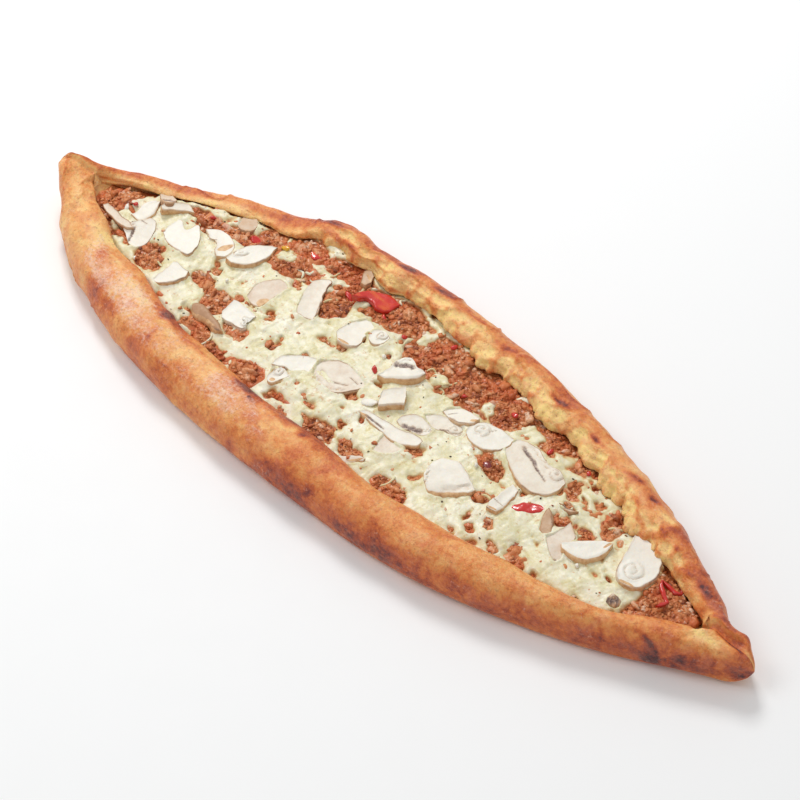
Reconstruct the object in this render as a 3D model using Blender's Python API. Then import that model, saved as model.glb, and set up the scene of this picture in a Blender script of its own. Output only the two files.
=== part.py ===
"""Turkish pide: a boat of baked dough with minced meat, melted cheese, mushrooms and peppers.

+X runs along the boat, +Y to its wavy, thinner rim, +Z up. The origin is at the bottom
centre of the whole. Lengths below are in millimetres and become metres in the meshes.
"""
import math

import bmesh
import bpy
import numpy as np
from mathutils import Matrix, Vector

MM = 0.001
GAP = 0.35                      # clearance between pieces that lie on each other
SHEET_GAP = 0.6                 # under the cheese, whose facets differ from the meat's

# Outline of the dough boat seen from above
LENGTH = 430.0
HALF_LENGTH = LENGTH / 2
AXIS_Y = -3.74                  # line through both tips
NEAR_REACH = 63.7               # from that line to the smooth rim's outer edge
FAR_REACH = 71.2                # from that line to the wavy rim's outer edge
NEAR_PEAK_X = 30.0              # where each side is widest
FAR_PEAK_X = -30.0
NEAR_POWERS = (3.7, 1.85)       # fullness of the outline towards the left and right tip
FAR_POWERS = (2.2, 2.15)
FAR_SHOULDER = (-85, 25, 2.5)   # where the wavy rim steps outwards: x, half length, depth
KNOB_HALF_WIDTH = 6.0           # pinched end
NOSE_LENGTH = 11.0              # over which the end rounds off

# Opening between the two folded rims
OPENING_LEFT = -195.0
OPENING_RIGHT = 189.0
OPENING_RAMP = 26.0             # length over which the hollow reaches its full depth

# Rim sizes along the boat: (x, value)
NEAR_WIDTHS = ((-195, 22), (-165, 23), (-130, 28), (-80, 26.5), (-20, 25), (40, 23.5), (100, 21),
               (150, 13.5), (189, 15.5))
FAR_WIDTHS = ((-195, 9.5), (-150, 12.5), (-110, 14.5), (-80, 14), (-40, 17.5), (20, 18.5),
              (80, 18), (130, 19), (189, 14.5))
NEAR_HEIGHTS = ((-215, 18), (-150, 21), (0, 23), (120, 22), (215, 19))
FAR_HEIGHTS = ((-215, 20), (-160, 15), (-110, 15.5), (-70, 21.5), (60, 21), (150, 22), (215, 18))
TIP_LIFT = ((-215, 9.5), (-185, 2), (-160, 0), (165, 0), (190, 1), (215, 1.5))
# Lobes of the far lip, which hangs ragged over the filling: (x, half length, depth)
FAR_LOBES = ((-102, 13, 3), (-66, 10, 2.5), (-44, 10, 3.5), (0, 16, 2.5), (21, 14, 4.5),
             (64, 11, 4.5), (92, 8, 2), (109, 11, 4), (130, 9, 3))

BASE_THICKNESS = 5.0
LIP_THICKNESS = 4.2
LIP_CLEARANCE = 0.5             # lip's underside above the filling

# Roll of the rim: (share of its width from the outer edge, share of its height)
ROLL = ((0.86, 0.60), (0.68, 0.92))
ROLL_OUTSIDE = ((0.50, 1.00), (0.30, 0.95), (0.13, 0.80), (0.03, 0.58), (0.00, 0.38),
                (0.03, 0.20), (0.11, 0.06), (0.26, 0.00), (0.60, 0.00))
LIP_MOST = 0.97                 # a lip stays below this share of its rim's height
SEAM_FADE = 16.0                # length over which the seam between the rolls fades at a tip
POCKET_DEPTH = 0.42             # share of the rim's width that the filling reaches under it
# Hollow under a lip: (share of the pocket's depth, share of the way down to the floor)
HOLLOW = ((0.60, 0.02), (0.95, 0.30), (0.90, 0.78), (0.55, 1.00))

# Filling and cheese
FILLING_EDGE = 12.8
FILLING_CROWN = 2.2
FILLING_END_DROP = 3.0
BUMP_WAVES = ((47.0, 39.0, 0.35, 0.4), (61.0, 51.0, 0.30, 1.9))  # x length, y length, height, phase
CHEESE_THICKNESS = 2.0
CHEESE_ENDS = (-176.0, 163.0)
# Bays in the cheese: (x, half length, depth), along the near and the far side
NEAR_BAYS = ((-150, 12, 9), (-105, 14, 8), (-76, 12, 9), (-55, 9, 7), (-6, 12, 10), (38, 14, 10),
             (106, 8, 5))
FAR_BAYS = ((-140, 20, 14), (-100, 18, 24), (-80, 16, 22), (-35, 20, 22), (-5, 14, 24),
            (25, 28, 34), (77, 16, 22), (125, 12, 14))
CHEESE_MARGIN = 1.6             # between the cheese and a lip
CHEESE_END_RAMP = 22.0          # length over which the sheet narrows at its ends
CHEESE_END_POWER = 0.6          # bluntness of those ends
CHEESE_END_LEAST = 0.03         # share of the ramp where the sheet stops
CHEESE_LEAST_HALF = 3.0
CHEESE_EDGE = 0.4               # thickness at the edges
CHEESE_ROUNDING = 4.0           # full thickness this far inside them

# Sections: distances from a tip, inset from the opening's ends, and how many between
TIP_STATIONS = (0.9, 4.1, 9.3)
OPENING_STATION = 2.5
OPENING_INSET = 6.0
OPENING_STATIONS = 42
FILLING_INSET = 5.0
FILLING_ROWS = 11
CHEESE_INSET = 0.5
CHEESE_STATIONS = 58
CHEESE_ROWS = 7

# Outlines of the cut pieces in their own plane, anticlockwise, in shares of length and width:
# (length, width, first angle, last angle, points) is an arc, (x, y) a corner
OUTLINES = {
    "oval": ((1, 1, 0, 330, 12),),
    "dome": ((1, 1, -20, 240, 12), (0.10, -0.62)),
    "crescent": ((1, 1, 180, 360, 9), (0.86, 0.50, 15, 165, 5)),
    "half": ((1, 1, 150, 370, 9), (0.22, 0.36), (-0.12, 0.45)),
    "whole": ((1, 1, 170, 370, 11), (0.16, 0.14), (0.13, 0.50), (-0.13, 0.50), (-0.16, 0.14)),
    "heart": ((1, 1, 130, 400, 11), (0.12, 0.50), (0.10, 0.30), (-0.04, 0.48)),
    "wedge": ((0.50, 0.00), (0.32, 0.12), (-0.42, 0.50), (-0.50, 0.30), (-0.50, -0.30),
              (-0.42, -0.50), (0.32, -0.12)),
    "hook": ((1, 1, -50, 230, 9), (0.50, 0.50, 230, -50, 7)),
}
# Straight pieces are rectangles with cut corners, narrower at one end: share of the width left
TAPERS = {"stem": 0.82, "strip": 0.90, "block": 0.85, "chip": 0.70}
CORNER_CUT = 0.22
REST_SHARES = (0.0, 0.35, 0.7, 1.0, 1.05)   # a piece rests on what lies under these scaled outlines

# Mushroom pieces: outline, x, y, turn in degrees, length, width, thickness, lift
MUSHROOMS = (
    ("strip", -171, -6, -8, 21, 4, 3.0, 0), ("crescent", -163, 5, 80, 17, 8, 3.5, 0),
    ("chip", -160, 17, 15, 9, 5, 3.0, 0), ("stem", -150, 16, 30, 17, 7, 3.5, 0),
    ("half", -154, -8, 100, 18, 11, 3.5, 0), ("heart", -137, 4, 0, 22, 18, 3.5, 0),
    ("crescent", -122, 14, -15, 19, 10, 4.0, 0), ("crescent", -104, 18, 58, 24, 11, 3.5, 0),
    ("crescent", -124, -16, 70, 18, 10, 4.0, 0), ("stem", -91, -24, -5, 21, 5, 4.5, 0),
    ("half", -83, -13, -10, 17, 13, 5.0, 0), ("oval", -83, 8, 82, 22, 13, 2.5, 0),
    ("stem", -63, 19, -60, 28, 9, 3.5, 0), ("block", -35, 18, 75, 18, 12, 3.5, 0),
    ("oval", -24, 21, 60, 9, 8, 4.0, 0), ("oval", -42, -27, 80, 11, 7, 4.0, 0),
    ("block", -43, -14, 40, 17, 12, 3.5, 0), ("whole", -22, -7, -3, 27, 14, 3.0, 0),
    ("crescent", -2, 13, 52, 20, 9, 5.0, 0), ("block", 6, -1, -60, 15, 11, 7.0, 0),
    ("crescent", 20, -15, 10, 28, 8, 3.5, 0), ("half", 24, -5, -10, 14, 9, 3.0, 0),
    ("half", 30, 3.5, 15, 21, 7, 3.0, 0), ("oval", 35, 13, 25, 16, 7, 3.0, 0),
    ("oval", 51, 11.5, 10, 20, 14, 3.5, 0), ("whole", 78, 11, -22, 34, 17, 3.5, 0),
    ("dome", 54, -17, -35, 23, 20, 6.0, 0), ("wedge", 23, -26, -90, 11, 11, 2.5, 0),
    ("strip", 16, -35.5, 35, 13, 5, 4.0, 0), ("strip", 80, -9, -85, 17, 5, 4.0, 0),
    ("block", 113, -11, -65, 20, 12, 2.5, 0), ("crescent", 126, -5, 50, 24, 11, 4.0, 3.2),
    ("half", 146, 0.5, 80, 24, 18, 4.0, 0), ("chip", 150, -18, -20, 8, 7, 5.0, 0),
    ("chip", 102, -7.5, -70, 10, 5.5, 3.0, 0), ("strip", 105, 5.5, 10, 10, 3, 3.0, 0),
    ("chip", -121, 30, 10, 11, 7, 3.0, 0), ("chip", -54, 43, -50, 9, 6, 3.5, 0),
)
# Pepper pieces: outline, x, y, turn, length, width, thickness, lift
PEPPERS = (
    ("strip", -40, 40, -15, 20, 9, 3.5, 0), ("strip", 90, -4.5, 35, 12, 6.5, 3.5, 0),
    ("hook", 164, 1, -30, 13, 10, 2.5, 0), ("chip", -82, 39, 20, 6, 5, 3.0, 0),
    ("chip", -109, 27, 0, 6, 5, 3.0, 0),
)

CRUST_COLOUR = (0.62, 0.27, 0.09)
MINCE_COLOUR = (0.36, 0.12, 0.06)
CHEESE_COLOUR = (0.82, 0.78, 0.52)
MUSHROOM_COLOUR = (0.83, 0.74, 0.62)
PEPPER_COLOUR = (0.70, 0.05, 0.03)


def material(name, colour, roughness):
    """One matt food material."""
    made = bpy.data.materials.new(name)
    made.use_nodes = True
    shader = made.node_tree.nodes["Principled BSDF"]
    shader.inputs["Base Color"].default_value = (*colour, 1.0)
    shader.inputs["Roughness"].default_value = roughness
    shader.inputs["Metallic"].default_value = 0.0
    return made


def along(table, x):
    """A size that changes smoothly along the boat, eased between the table's places."""
    places = [place for place, _ in table]
    sizes = [size for _, size in table]
    if x <= places[0]:
        return sizes[0]
    if x >= places[-1]:
        return sizes[-1]
    right = next(i for i, place in enumerate(places) if place > x)
    share = (x - places[right - 1]) / (places[right] - places[right - 1])
    eased = share * share * (3 - 2 * share)
    return sizes[right - 1] + (sizes[right] - sizes[right - 1]) * eased


def bulge(x, places):
    """A smooth hump at each (x, half length, depth); where two meet, the deeper one counts."""
    depths = [depth * math.cos(math.pi / 2 * (x - place) / half) ** 2
              for place, half, depth in places if abs(x - place) < half]
    return max(depths, default=0.0)


def reach(x, peak, powers, most):
    """Distance from the axis to a rim's outer edge: full at its peak, nil at both tips."""
    if x < peak:
        share = (peak - x) / (peak + HALF_LENGTH)
        power = powers[0]
    else:
        share = (x - peak) / (HALF_LENGTH - peak)
        power = powers[1]
    return most * (1 - min(share, 1.0) ** power)


def nose(x):
    """1 along the boat, falling to 0 at each tip like a quarter circle."""
    over = max(0.0, abs(x) - (HALF_LENGTH - NOSE_LENGTH)) / NOSE_LENGTH
    return math.sqrt(max(0.0, 1 - over * over))


def outer_edges(x):
    """Y of the near and the far outer edge."""
    near = math.hypot(reach(x, NEAR_PEAK_X, NEAR_POWERS, NEAR_REACH), KNOB_HALF_WIDTH)
    far = reach(x, FAR_PEAK_X, FAR_POWERS, FAR_REACH) + bulge(x, (FAR_SHOULDER,))
    far = math.hypot(far, KNOB_HALF_WIDTH)
    near_most = math.hypot(NEAR_REACH, KNOB_HALF_WIDTH)
    far_most = math.hypot(FAR_REACH, KNOB_HALF_WIDTH)
    round_off = nose(x)
    return (AXIS_Y - near * NEAR_REACH / near_most * round_off,
            AXIS_Y + far * FAR_REACH / far_most * round_off)


def lips(x):
    """Y of the near and the far lip, which meet in a seam beyond the opening."""
    near_edge, far_edge = outer_edges(x)
    near_width = along(NEAR_WIDTHS, x)
    far_width = along(FAR_WIDTHS, x) + bulge(x, FAR_LOBES)
    near_lip = near_edge + near_width
    far_lip = far_edge - far_width
    if is_open(x) and far_lip > near_lip:
        return near_lip, far_lip
    share = near_width / (near_width + far_width)
    seam = near_edge + (far_edge - near_edge) * share
    return seam, seam


def is_open(x):
    return OPENING_LEFT < x < OPENING_RIGHT


def openness(x):
    """0 at the ends of the opening, 1 where the hollow has its full depth."""
    inside = min(x - OPENING_LEFT, OPENING_RIGHT - x)
    share = min(1.0, max(0.0, inside / OPENING_RAMP))
    return math.sin(share * math.pi / 2)


def filling_top(x, y):
    """Height of the meat: a low crown across, lower at both ends, slightly uneven."""
    near_lip, far_lip = lips(x)
    half = max(1.0, (far_lip - near_lip) / 2)
    across = (y - (near_lip + far_lip) / 2) / half
    crown = FILLING_CROWN * max(0.0, 1 - across * across)
    bumps = sum(height * math.sin(math.tau * x / x_length + phase) * math.cos(math.tau * y / y_length)
                for x_length, y_length, height, phase in BUMP_WAVES)
    return FILLING_EDGE + crown + bumps - FILLING_END_DROP * (1 - openness(x))


def lift(x):
    return along(TIP_LIFT, x)


def rim_outside(edge, lip, height, lip_top):
    """Points of a rim from its lip over the roll and down to the flat underside."""
    width = lip - edge
    points = [(lip, lip_top)]
    for across, up in ROLL:
        points.append((edge + width * across, lip_top + (height - lip_top) * up))
    for across, up in ROLL_OUTSIDE:
        points.append((edge + width * across, height * up))
    return points


def hollow_side(x, edge, lip):
    """Points of the hollow from under a lip, into the pocket and down to the base."""
    depth = openness(x)
    underside = filling_top(x, lip) + LIP_CLEARANCE
    floor = underside - (underside - BASE_THICKNESS) * depth
    pocket = (lip - edge) * POCKET_DEPTH * depth
    return [(lip, underside)] + [(lip - pocket * inwards, underside - (underside - floor) * down)
                                 for inwards, down in HOLLOW]


def crust_ring(x):
    """One closed section of the dough, in the plane across the boat."""
    near_edge, far_edge = outer_edges(x)
    near_lip, far_lip = lips(x)
    near_height = along(NEAR_HEIGHTS, x)
    far_height = along(FAR_HEIGHTS, x)
    near_top = filling_top(x, near_lip) + LIP_CLEARANCE + LIP_THICKNESS
    far_top = filling_top(x, far_lip) + LIP_CLEARANCE + LIP_THICKNESS
    if not is_open(x):
        # beyond the opening the two rolls grow together and the seam between them fades
        fade = min(1.0, min(abs(x - OPENING_LEFT), abs(x - OPENING_RIGHT)) / SEAM_FADE)
        height = (near_height + far_height) / 2
        near_top = far_top = near_top + (height * LIP_MOST - near_top) * fade
    near = rim_outside(near_edge, near_lip, near_height, min(near_top, near_height * LIP_MOST))
    far = rim_outside(far_edge, far_lip, far_height, min(far_top, far_height * LIP_MOST))
    middle = [((near_edge + far_edge) / 2, 0.0)]
    outside = near + middle + far[::-1]
    if is_open(x):
        near_hollow = hollow_side(x, near_edge, near_lip)
        far_hollow = hollow_side(x, far_edge, far_lip)
        floor = (near_hollow[-1][1] + far_hollow[-1][1]) / 2
        centre = [((near_hollow[-1][0] + far_hollow[-1][0]) / 2, floor)]
        inside = far_hollow + centre + near_hollow[::-1]
    else:
        inside = [near[0]] * (2 * len(HOLLOW) + 3)
    return np.array(outside + inside)


def placed(x, ring):
    """A section in space: raised where the tips curl up, shrunk where the nose rounds off."""
    round_off = nose(x)
    middle = (along(NEAR_HEIGHTS, x) + along(FAR_HEIGHTS, x)) / 4
    z = middle + (ring[:, 1] - middle) * round_off + lift(x)
    return np.column_stack([np.full(len(ring), x), ring[:, 0], z])


def crust_stations():
    """Places along the boat, closer together at the tips and at the opening's ends."""
    ends = [HALF_LENGTH - distance for distance in TIP_STATIONS]
    left = [-end for end in ends] + [OPENING_LEFT, OPENING_LEFT + OPENING_STATION]
    between = np.linspace(OPENING_LEFT + OPENING_INSET, OPENING_RIGHT - OPENING_INSET, OPENING_STATIONS)
    right = [OPENING_RIGHT - OPENING_STATION, OPENING_RIGHT] + ends[::-1]
    return left + list(between) + right


def mesh_object(name, bm, colour_material, collection, smooth_angle=40.0):
    """Finish a mesh: doubles merged, faces outwards, smooth where it is round."""
    bmesh.ops.remove_doubles(bm, verts=bm.verts, dist=0.01 * MM)
    bmesh.ops.recalc_face_normals(bm, faces=bm.faces)
    mesh = bpy.data.meshes.new(name)
    bm.to_mesh(mesh)
    bm.free()
    mesh.shade_smooth()
    mesh.set_sharp_from_angle(angle=math.radians(smooth_angle))
    mesh.materials.append(colour_material)
    made = bpy.data.objects.new(name, mesh)
    collection.objects.link(made)
    return made


def loft(bm, rings, poles=()):
    """Quads between equal rings, each end closed by one face or by a fan to its pole."""
    rows = [[bm.verts.new(Vector(point) * MM) for point in ring] for ring in rings]
    count = len(rows[0])
    for left, right in zip(rows, rows[1:]):
        for i in range(count):
            following = (i + 1) % count
            bm.faces.new((left[i], left[following], right[following], right[i]))
    if not poles:
        bm.faces.new(rows[0])
        bm.faces.new(rows[-1])
    for row, place in zip((rows[0], rows[-1]), poles):
        pole = bm.verts.new(Vector(place) * MM)
        for i in range(count):
            bm.faces.new((row[i], row[(i + 1) % count], pole))


def make_crust(collection):
    """The dough: a flat base whose long edges rise and fold inwards over the filling."""
    bm = bmesh.new()
    rings = [placed(x, crust_ring(x)) for x in crust_stations()]
    poles = [(end, *ring.mean(axis=0)[1:]) for end, ring in
             ((-HALF_LENGTH, rings[0]), (HALF_LENGTH, rings[-1]))]
    loft(bm, rings, poles)
    return mesh_object("crust", bm, material("crust", CRUST_COLOUR, 0.55), collection)


def filling_ring(x):
    """Section of the meat: the hollow's shape drawn in by the gap, with its own top."""
    near_edge, far_edge = outer_edges(x)
    near_lip, far_lip = lips(x)
    near = np.array(hollow_side(x, near_edge, near_lip))
    far = np.array(hollow_side(x, far_edge, far_lip))
    for side, sign in ((near, 1), (far, -1)):
        side[0, 1] = filling_top(x, side[0, 0])
        side[1, 1] -= LIP_CLEARANCE
        side[1:, 0] += sign * GAP
        side[2, 1] -= GAP
        side[3, 1] += GAP
        side[4, 1] += GAP
    centre = (near[4] + far[4]) / 2
    top = []
    for share in np.linspace(0, 1, FILLING_ROWS + 2)[1:-1]:
        y = far[0, 0] + (near[0, 0] - far[0, 0]) * share
        top.append((y, filling_top(x, y)))
    ring = [tuple(p) for p in near] + [tuple(centre)] + [tuple(p) for p in far[::-1]] + top
    ring = np.array(ring)
    return np.column_stack([np.full(len(ring), x), ring[:, 0], ring[:, 1] + lift(x)])


def make_filling(collection):
    """The minced meat: it fills the hollow, reaches under both lips and lies bare at the ends."""
    bm = bmesh.new()
    stations = [x for x in crust_stations()
                if OPENING_LEFT + FILLING_INSET < x < OPENING_RIGHT - FILLING_INSET]
    loft(bm, [filling_ring(x) for x in stations])
    return mesh_object("mince", bm, material("mince", MINCE_COLOUR, 0.6), collection, 60.0)


def cheese_edges(x):
    """Y of the cheese's near and far edge."""
    near_lip, far_lip = lips(x)
    near = near_lip + CHEESE_MARGIN + bulge(x, NEAR_BAYS)
    far = far_lip - CHEESE_MARGIN - bulge(x, FAR_BAYS)
    from_end = min(x - CHEESE_ENDS[0], CHEESE_ENDS[1] - x)
    ramp = min(1.0, max(CHEESE_END_LEAST, from_end / CHEESE_END_RAMP))
    fullness = math.sin(ramp * math.pi / 2) ** CHEESE_END_POWER
    middle = (near + far) / 2
    half = max(CHEESE_LEAST_HALF, (far - near) / 2) * fullness
    return middle - half, middle + half


def cheese_cover(x, y):
    """Thickness of the cheese over a point: none outside it, rounded towards its edges."""
    if not CHEESE_ENDS[0] < x < CHEESE_ENDS[1]:
        return 0.0
    near, far = cheese_edges(x)
    inside = min(y - near, far - y)
    if inside <= 0:
        return 0.0
    return CHEESE_THICKNESS * math.sqrt(min(1.0, inside / CHEESE_ROUNDING))


def cheese_ring(x):
    """Section of the cheese: its underside follows the meat, its edges are thin."""
    near, far = cheese_edges(x)
    shares = (1 - np.cos(np.linspace(0, math.pi, CHEESE_ROWS))) / 2
    ys = near + (far - near) * shares
    bottom = [(y, filling_top(x, y) + SHEET_GAP) for y in ys]
    top = [(y, filling_top(x, y) + SHEET_GAP + max(CHEESE_EDGE, cheese_cover(x, y)))
           for y in ys[::-1]]
    ring = np.array(bottom + top)
    return np.column_stack([np.full(len(ring), x), ring[:, 0], ring[:, 1] + lift(x)])


def make_cheese(collection):
    """The melted cheese: one thin sheet with bays where the meat shows."""
    bm = bmesh.new()
    stations = np.linspace(CHEESE_ENDS[0] + CHEESE_INSET, CHEESE_ENDS[1] - CHEESE_INSET, CHEESE_STATIONS)
    loft(bm, [cheese_ring(x) for x in stations])
    return mesh_object("cheese", bm, material("cheese", CHEESE_COLOUR, 0.4), collection, 50.0)


def outline(kind, length, width):
    """Corner points of a cut piece about its middle, read from its row of shares."""
    if kind in TAPERS:
        corner = CORNER_CUT * min(length, width)
        x, y = length / 2, width / 2
        narrow = y * TAPERS[kind]
        return [(x, corner - narrow), (x, narrow - corner), (x - corner, narrow),
                (corner - x, y), (-x, y - corner), (-x, corner - y),
                (corner - x, -y), (x - corner, -narrow)]
    points = []
    for row in OUTLINES[kind]:
        if len(row) == 2:
            points.append((row[0] * length, row[1] * width))
            continue
        long_share, wide_share, start, end, count = row
        for angle in np.radians(np.linspace(start, end, count)):
            points.append((long_share * length / 2 * math.cos(angle),
                           wide_share * width / 2 * math.sin(angle)))
    return points


def surface(x, y):
    """Top of the filling with its cheese."""
    cover = cheese_cover(x, y)
    return filling_top(x, y) + lift(x) + (cover + SHEET_GAP if cover > 0 else 0.0)


def resting_place(points, lift_by):
    """Plane that a flat piece rests on: fitted to the surface below it, then raised clear."""
    heights = np.array([surface(x, y) for x, y in points])
    columns = np.column_stack([np.ones(len(points)), points])
    plane = np.linalg.lstsq(columns, heights, rcond=None)[0]
    clear = (heights - columns @ plane).max() + GAP + lift_by
    return plane[0] + clear, plane[1], plane[2]


def make_slice(name, row, colour_material, collection):
    """A flat cut piece: its outline as a filled curve with thickness, laid on the filling."""
    kind, x, y, turn, length, width, thickness, lift_by = row
    points = np.array(outline(kind, length, width))
    angle = math.radians(turn)
    rotation = np.array([[math.cos(angle), -math.sin(angle)], [math.sin(angle), math.cos(angle)]])
    grid = [points * share for share in REST_SHARES]
    below = np.vstack(grid) @ rotation.T + (x, y)
    level, slope_x, slope_y = resting_place(below, lift_by)
    curve = bpy.data.curves.new(name, "CURVE")
    curve.dimensions = "2D"
    curve.fill_mode = "BOTH"
    curve.extrude = thickness / 2 * MM
    spline = curve.splines.new("POLY")
    spline.points.add(len(points) - 1)
    spline.points.foreach_set("co", np.column_stack(
        [points * MM, np.zeros(len(points)), np.ones(len(points))]).ravel())
    spline.use_cyclic_u = True
    curve.materials.append(colour_material)
    made = bpy.data.objects.new(name, curve)
    normal = Vector((-slope_x, -slope_y, 1)).normalized()
    along_piece = Vector((math.cos(angle), math.sin(angle), 0))
    along_piece = (along_piece - normal * along_piece.dot(normal)).normalized()
    across_piece = normal.cross(along_piece)
    centre = Vector((x, y, level + slope_x * x + slope_y * y)) + normal * thickness / 2
    turn_matrix = Matrix((along_piece, across_piece, normal)).transposed().to_4x4()
    made.matrix_world = Matrix.Translation(centre * MM) @ turn_matrix
    collection.objects.link(made)
    return made


def make_toppings(collection):
    """Mushroom and pepper pieces, each on its own resting place."""
    for number, row in enumerate(MUSHROOMS, start=1):
        name = "mushroom_%02d" % number
        make_slice(name, row, material(name, MUSHROOM_COLOUR, 0.5), collection)
    for number, row in enumerate(PEPPERS, start=1):
        name = "pepper_%d" % number
        make_slice(name, row, material(name, PEPPER_COLOUR, 0.3), collection)


def main():
    for old in list(bpy.data.objects):
        bpy.data.objects.remove(old)
    collection = bpy.data.collections.new("turkish_pide")
    bpy.context.scene.collection.children.link(collection)
    make_crust(collection)
    make_filling(collection)
    make_cheese(collection)
    make_toppings(collection)


main()
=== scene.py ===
"""Turkish pide: the looks of a baked dough boat with minced meat, melted cheese, mushrooms and peppers.

It is laid out as an add-on: the panel's buttons make one piece, or one group of like pieces, each.
Lengths in the tables and in the shape functions are in millimetres and become metres in the meshes.
+X runs along the boat, +Y to its wavy rim, +Z up.
"""
import math

import bmesh
import bpy
import numpy as np
from bpy.props import FloatProperty, FloatVectorProperty, IntProperty, PointerProperty
from mathutils import Matrix, Vector


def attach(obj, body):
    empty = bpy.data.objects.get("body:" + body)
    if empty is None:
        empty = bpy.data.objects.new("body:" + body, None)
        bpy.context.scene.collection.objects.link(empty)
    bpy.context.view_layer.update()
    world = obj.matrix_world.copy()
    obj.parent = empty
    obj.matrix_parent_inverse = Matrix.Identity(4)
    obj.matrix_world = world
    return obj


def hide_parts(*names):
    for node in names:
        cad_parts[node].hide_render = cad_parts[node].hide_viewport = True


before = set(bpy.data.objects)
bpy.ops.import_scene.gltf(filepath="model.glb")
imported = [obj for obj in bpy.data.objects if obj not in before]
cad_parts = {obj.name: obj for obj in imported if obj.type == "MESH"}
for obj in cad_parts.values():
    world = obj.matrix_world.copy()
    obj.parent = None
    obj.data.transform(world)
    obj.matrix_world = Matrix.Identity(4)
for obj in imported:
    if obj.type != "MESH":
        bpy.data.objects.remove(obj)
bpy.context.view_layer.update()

bl_info = {
    "name": "Turkish pide",
    "version": (1, 0, 0),
    "blender": (4, 5, 0),
    "location": "3D View > Sidebar > Pide",
    "description": "Makes a baked pide with its filling, piece by piece",
    "category": "Object",
}

MM = 0.001

# Outline of the dough boat seen from above
HALF_LENGTH = 215.0
AXIS_Y = -3.74
NEAR_REACH = 63.7
FAR_REACH = 71.2
NEAR_PEAK_X = 30.0
FAR_PEAK_X = -30.0
NEAR_POWERS = (3.7, 1.85)
FAR_POWERS = (2.2, 2.15)
FAR_SHOULDER = (-85, 25, 2.5)
KNOB_HALF_WIDTH = 6.0
NOSE_LENGTH = 11.0
OPENING_LEFT = -195.0
OPENING_RIGHT = 189.0
OPENING_RAMP = 26.0
NEAR_WIDTHS = ((-195, 22), (-165, 23), (-130, 28), (-80, 26.5), (-20, 25), (40, 23.5), (100, 21),
               (150, 13.5), (189, 15.5))
FAR_WIDTHS = ((-195, 9.5), (-150, 12.5), (-110, 14.5), (-80, 14), (-40, 17.5), (20, 18.5),
              (80, 18), (130, 19), (189, 14.5))
NEAR_HEIGHTS = ((-215, 18), (-150, 21), (0, 23), (120, 22), (215, 19))
FAR_HEIGHTS = ((-215, 20), (-160, 15), (-110, 15.5), (-70, 21.5), (60, 21), (150, 22), (215, 18))
TIP_LIFT = ((-215, 9.5), (-185, 2), (-160, 0), (165, 0), (190, 1), (215, 1.5))
FAR_LOBES = ((-102, 13, 3), (-66, 10, 2.5), (-44, 10, 3.5), (0, 16, 2.5), (21, 14, 4.5),
             (64, 11, 4.5), (92, 8, 2), (109, 11, 4), (130, 9, 3))
BASE_THICKNESS = 5.0
LIP_THICKNESS = 4.2
LIP_CLEARANCE = 0.5
LIP_MOST = 0.97
SEAM_FADE = 16.0
TWIST_LINE = ((184, -6.0), (187, -3.6), (189, -1.0), (193, 0.6), (199, 0.4), (205, -0.4), (212, -3.0))
TWIST_FADE = 3.0
ROLL = ((0.86, 0.60), (0.68, 0.92))
ROLL_OUTSIDE = ((0.50, 1.00), (0.30, 0.95), (0.13, 0.80), (0.03, 0.58), (0.00, 0.38),
                (0.03, 0.20), (0.11, 0.06), (0.26, 0.00), (0.60, 0.00))
POCKET_DEPTH = 0.42
HOLLOW = ((0.60, 0.02), (0.95, 0.30), (0.90, 0.78), (0.55, 1.00))
FILLING_EDGE = 12.8
FILLING_CROWN = 2.2
FILLING_END_DROP = 3.0
CHEESE_DEPTH = 1.85
BUMP_WAVES = ((47.0, 39.0, 0.35, 0.4), (61.0, 51.0, 0.30, 1.9))
CHEESE_ENDS = (-176.0, 163.0)

# Baked marks on the dough, two of them painted highlights: x, y, radius along, radius across, darkness (below 0 is
# paler)
NEAR_MARKS = (
    (-154, -36, 7, 5, 0.46), (-140, -44, 8, 6, 0.40), (-150, -40, 16, 7, 0.16),
    (-105, -57, 13, 5, 0.44), (-72, -58, 16, 5, 0.26), (-128, -50, 9, 4, 0.26), (-188, -13, 8, 5, -0.22), (10, -62, 22, 6, -0.12), (177, -28.5, 10, 1.7, 0.62), (25, -52, 9, 6, -0.22),
    (192, -20.5, 7, 1.8, 0.32), (160, -36, 12, 2.5, 0.25), (208, -6, 9, 9, 0.08), (-158, -22, 14, 6, -0.42), (-128, -38, 12, 6, -0.24),
    (-70, -38, 14, 7, -0.16), (-186, -20, 12, 5, -0.14), (-120, -33, 15, 6, -0.10),
    # The rows at (187, -13) and (199, -12) are a painted highlight: a pale streak along the near roll by the right tip.
    (-203, -8, 6, 6, 0.16), (-176, -23, 8, 8, 0.16), (187, -13, 12, 3.5, -0.34),
    (199, -12, 7, 3.5, -0.30), (-30, -50, 22, 7, 0.10), (60, -64, 26, 5, 0.16), (40, -46, 30, 5, -0.12),
    (100, -50, 24, 8, 0.06), (-90, -47, 18, 6, 0.06), (120, -38, 20, 6, -0.10),
)
FAR_MARKS = (
    (64, 46, 8, 2.2, 0.60), (91, 40, 6, 2.0, 0.60), (40, 50, 6, 1.8, 0.40), (118, 35, 7, 2.0, 0.40), (176, 8, 5, 3.0, 0.22), (108, 28, 8, 2.5, 0.36),
    (28, 52, 8, 4, 0.3), (-20, 59, 8, 4, 0.22), (131, 31, 4, 2.2, 0.45), (60, 51, 12, 2.6, 0.26),
    (-88, 57, 7, 3, 0.30), (-150, 25, 16, 3, 0.16), (-112, 41, 8, 2.5, 0.22), (182, 1, 6, 4, 0.3),
    (150, 23, 10, 3, 0.18), (-45, 60, 10, 3, 0.18), (5, 58, 9, 3, 0.2), (143, 27, 5, 2, -0.25),
    (120, 39, 10, 3, -0.12), (-192, 8, 6, 4, 0.10),
)
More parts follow.
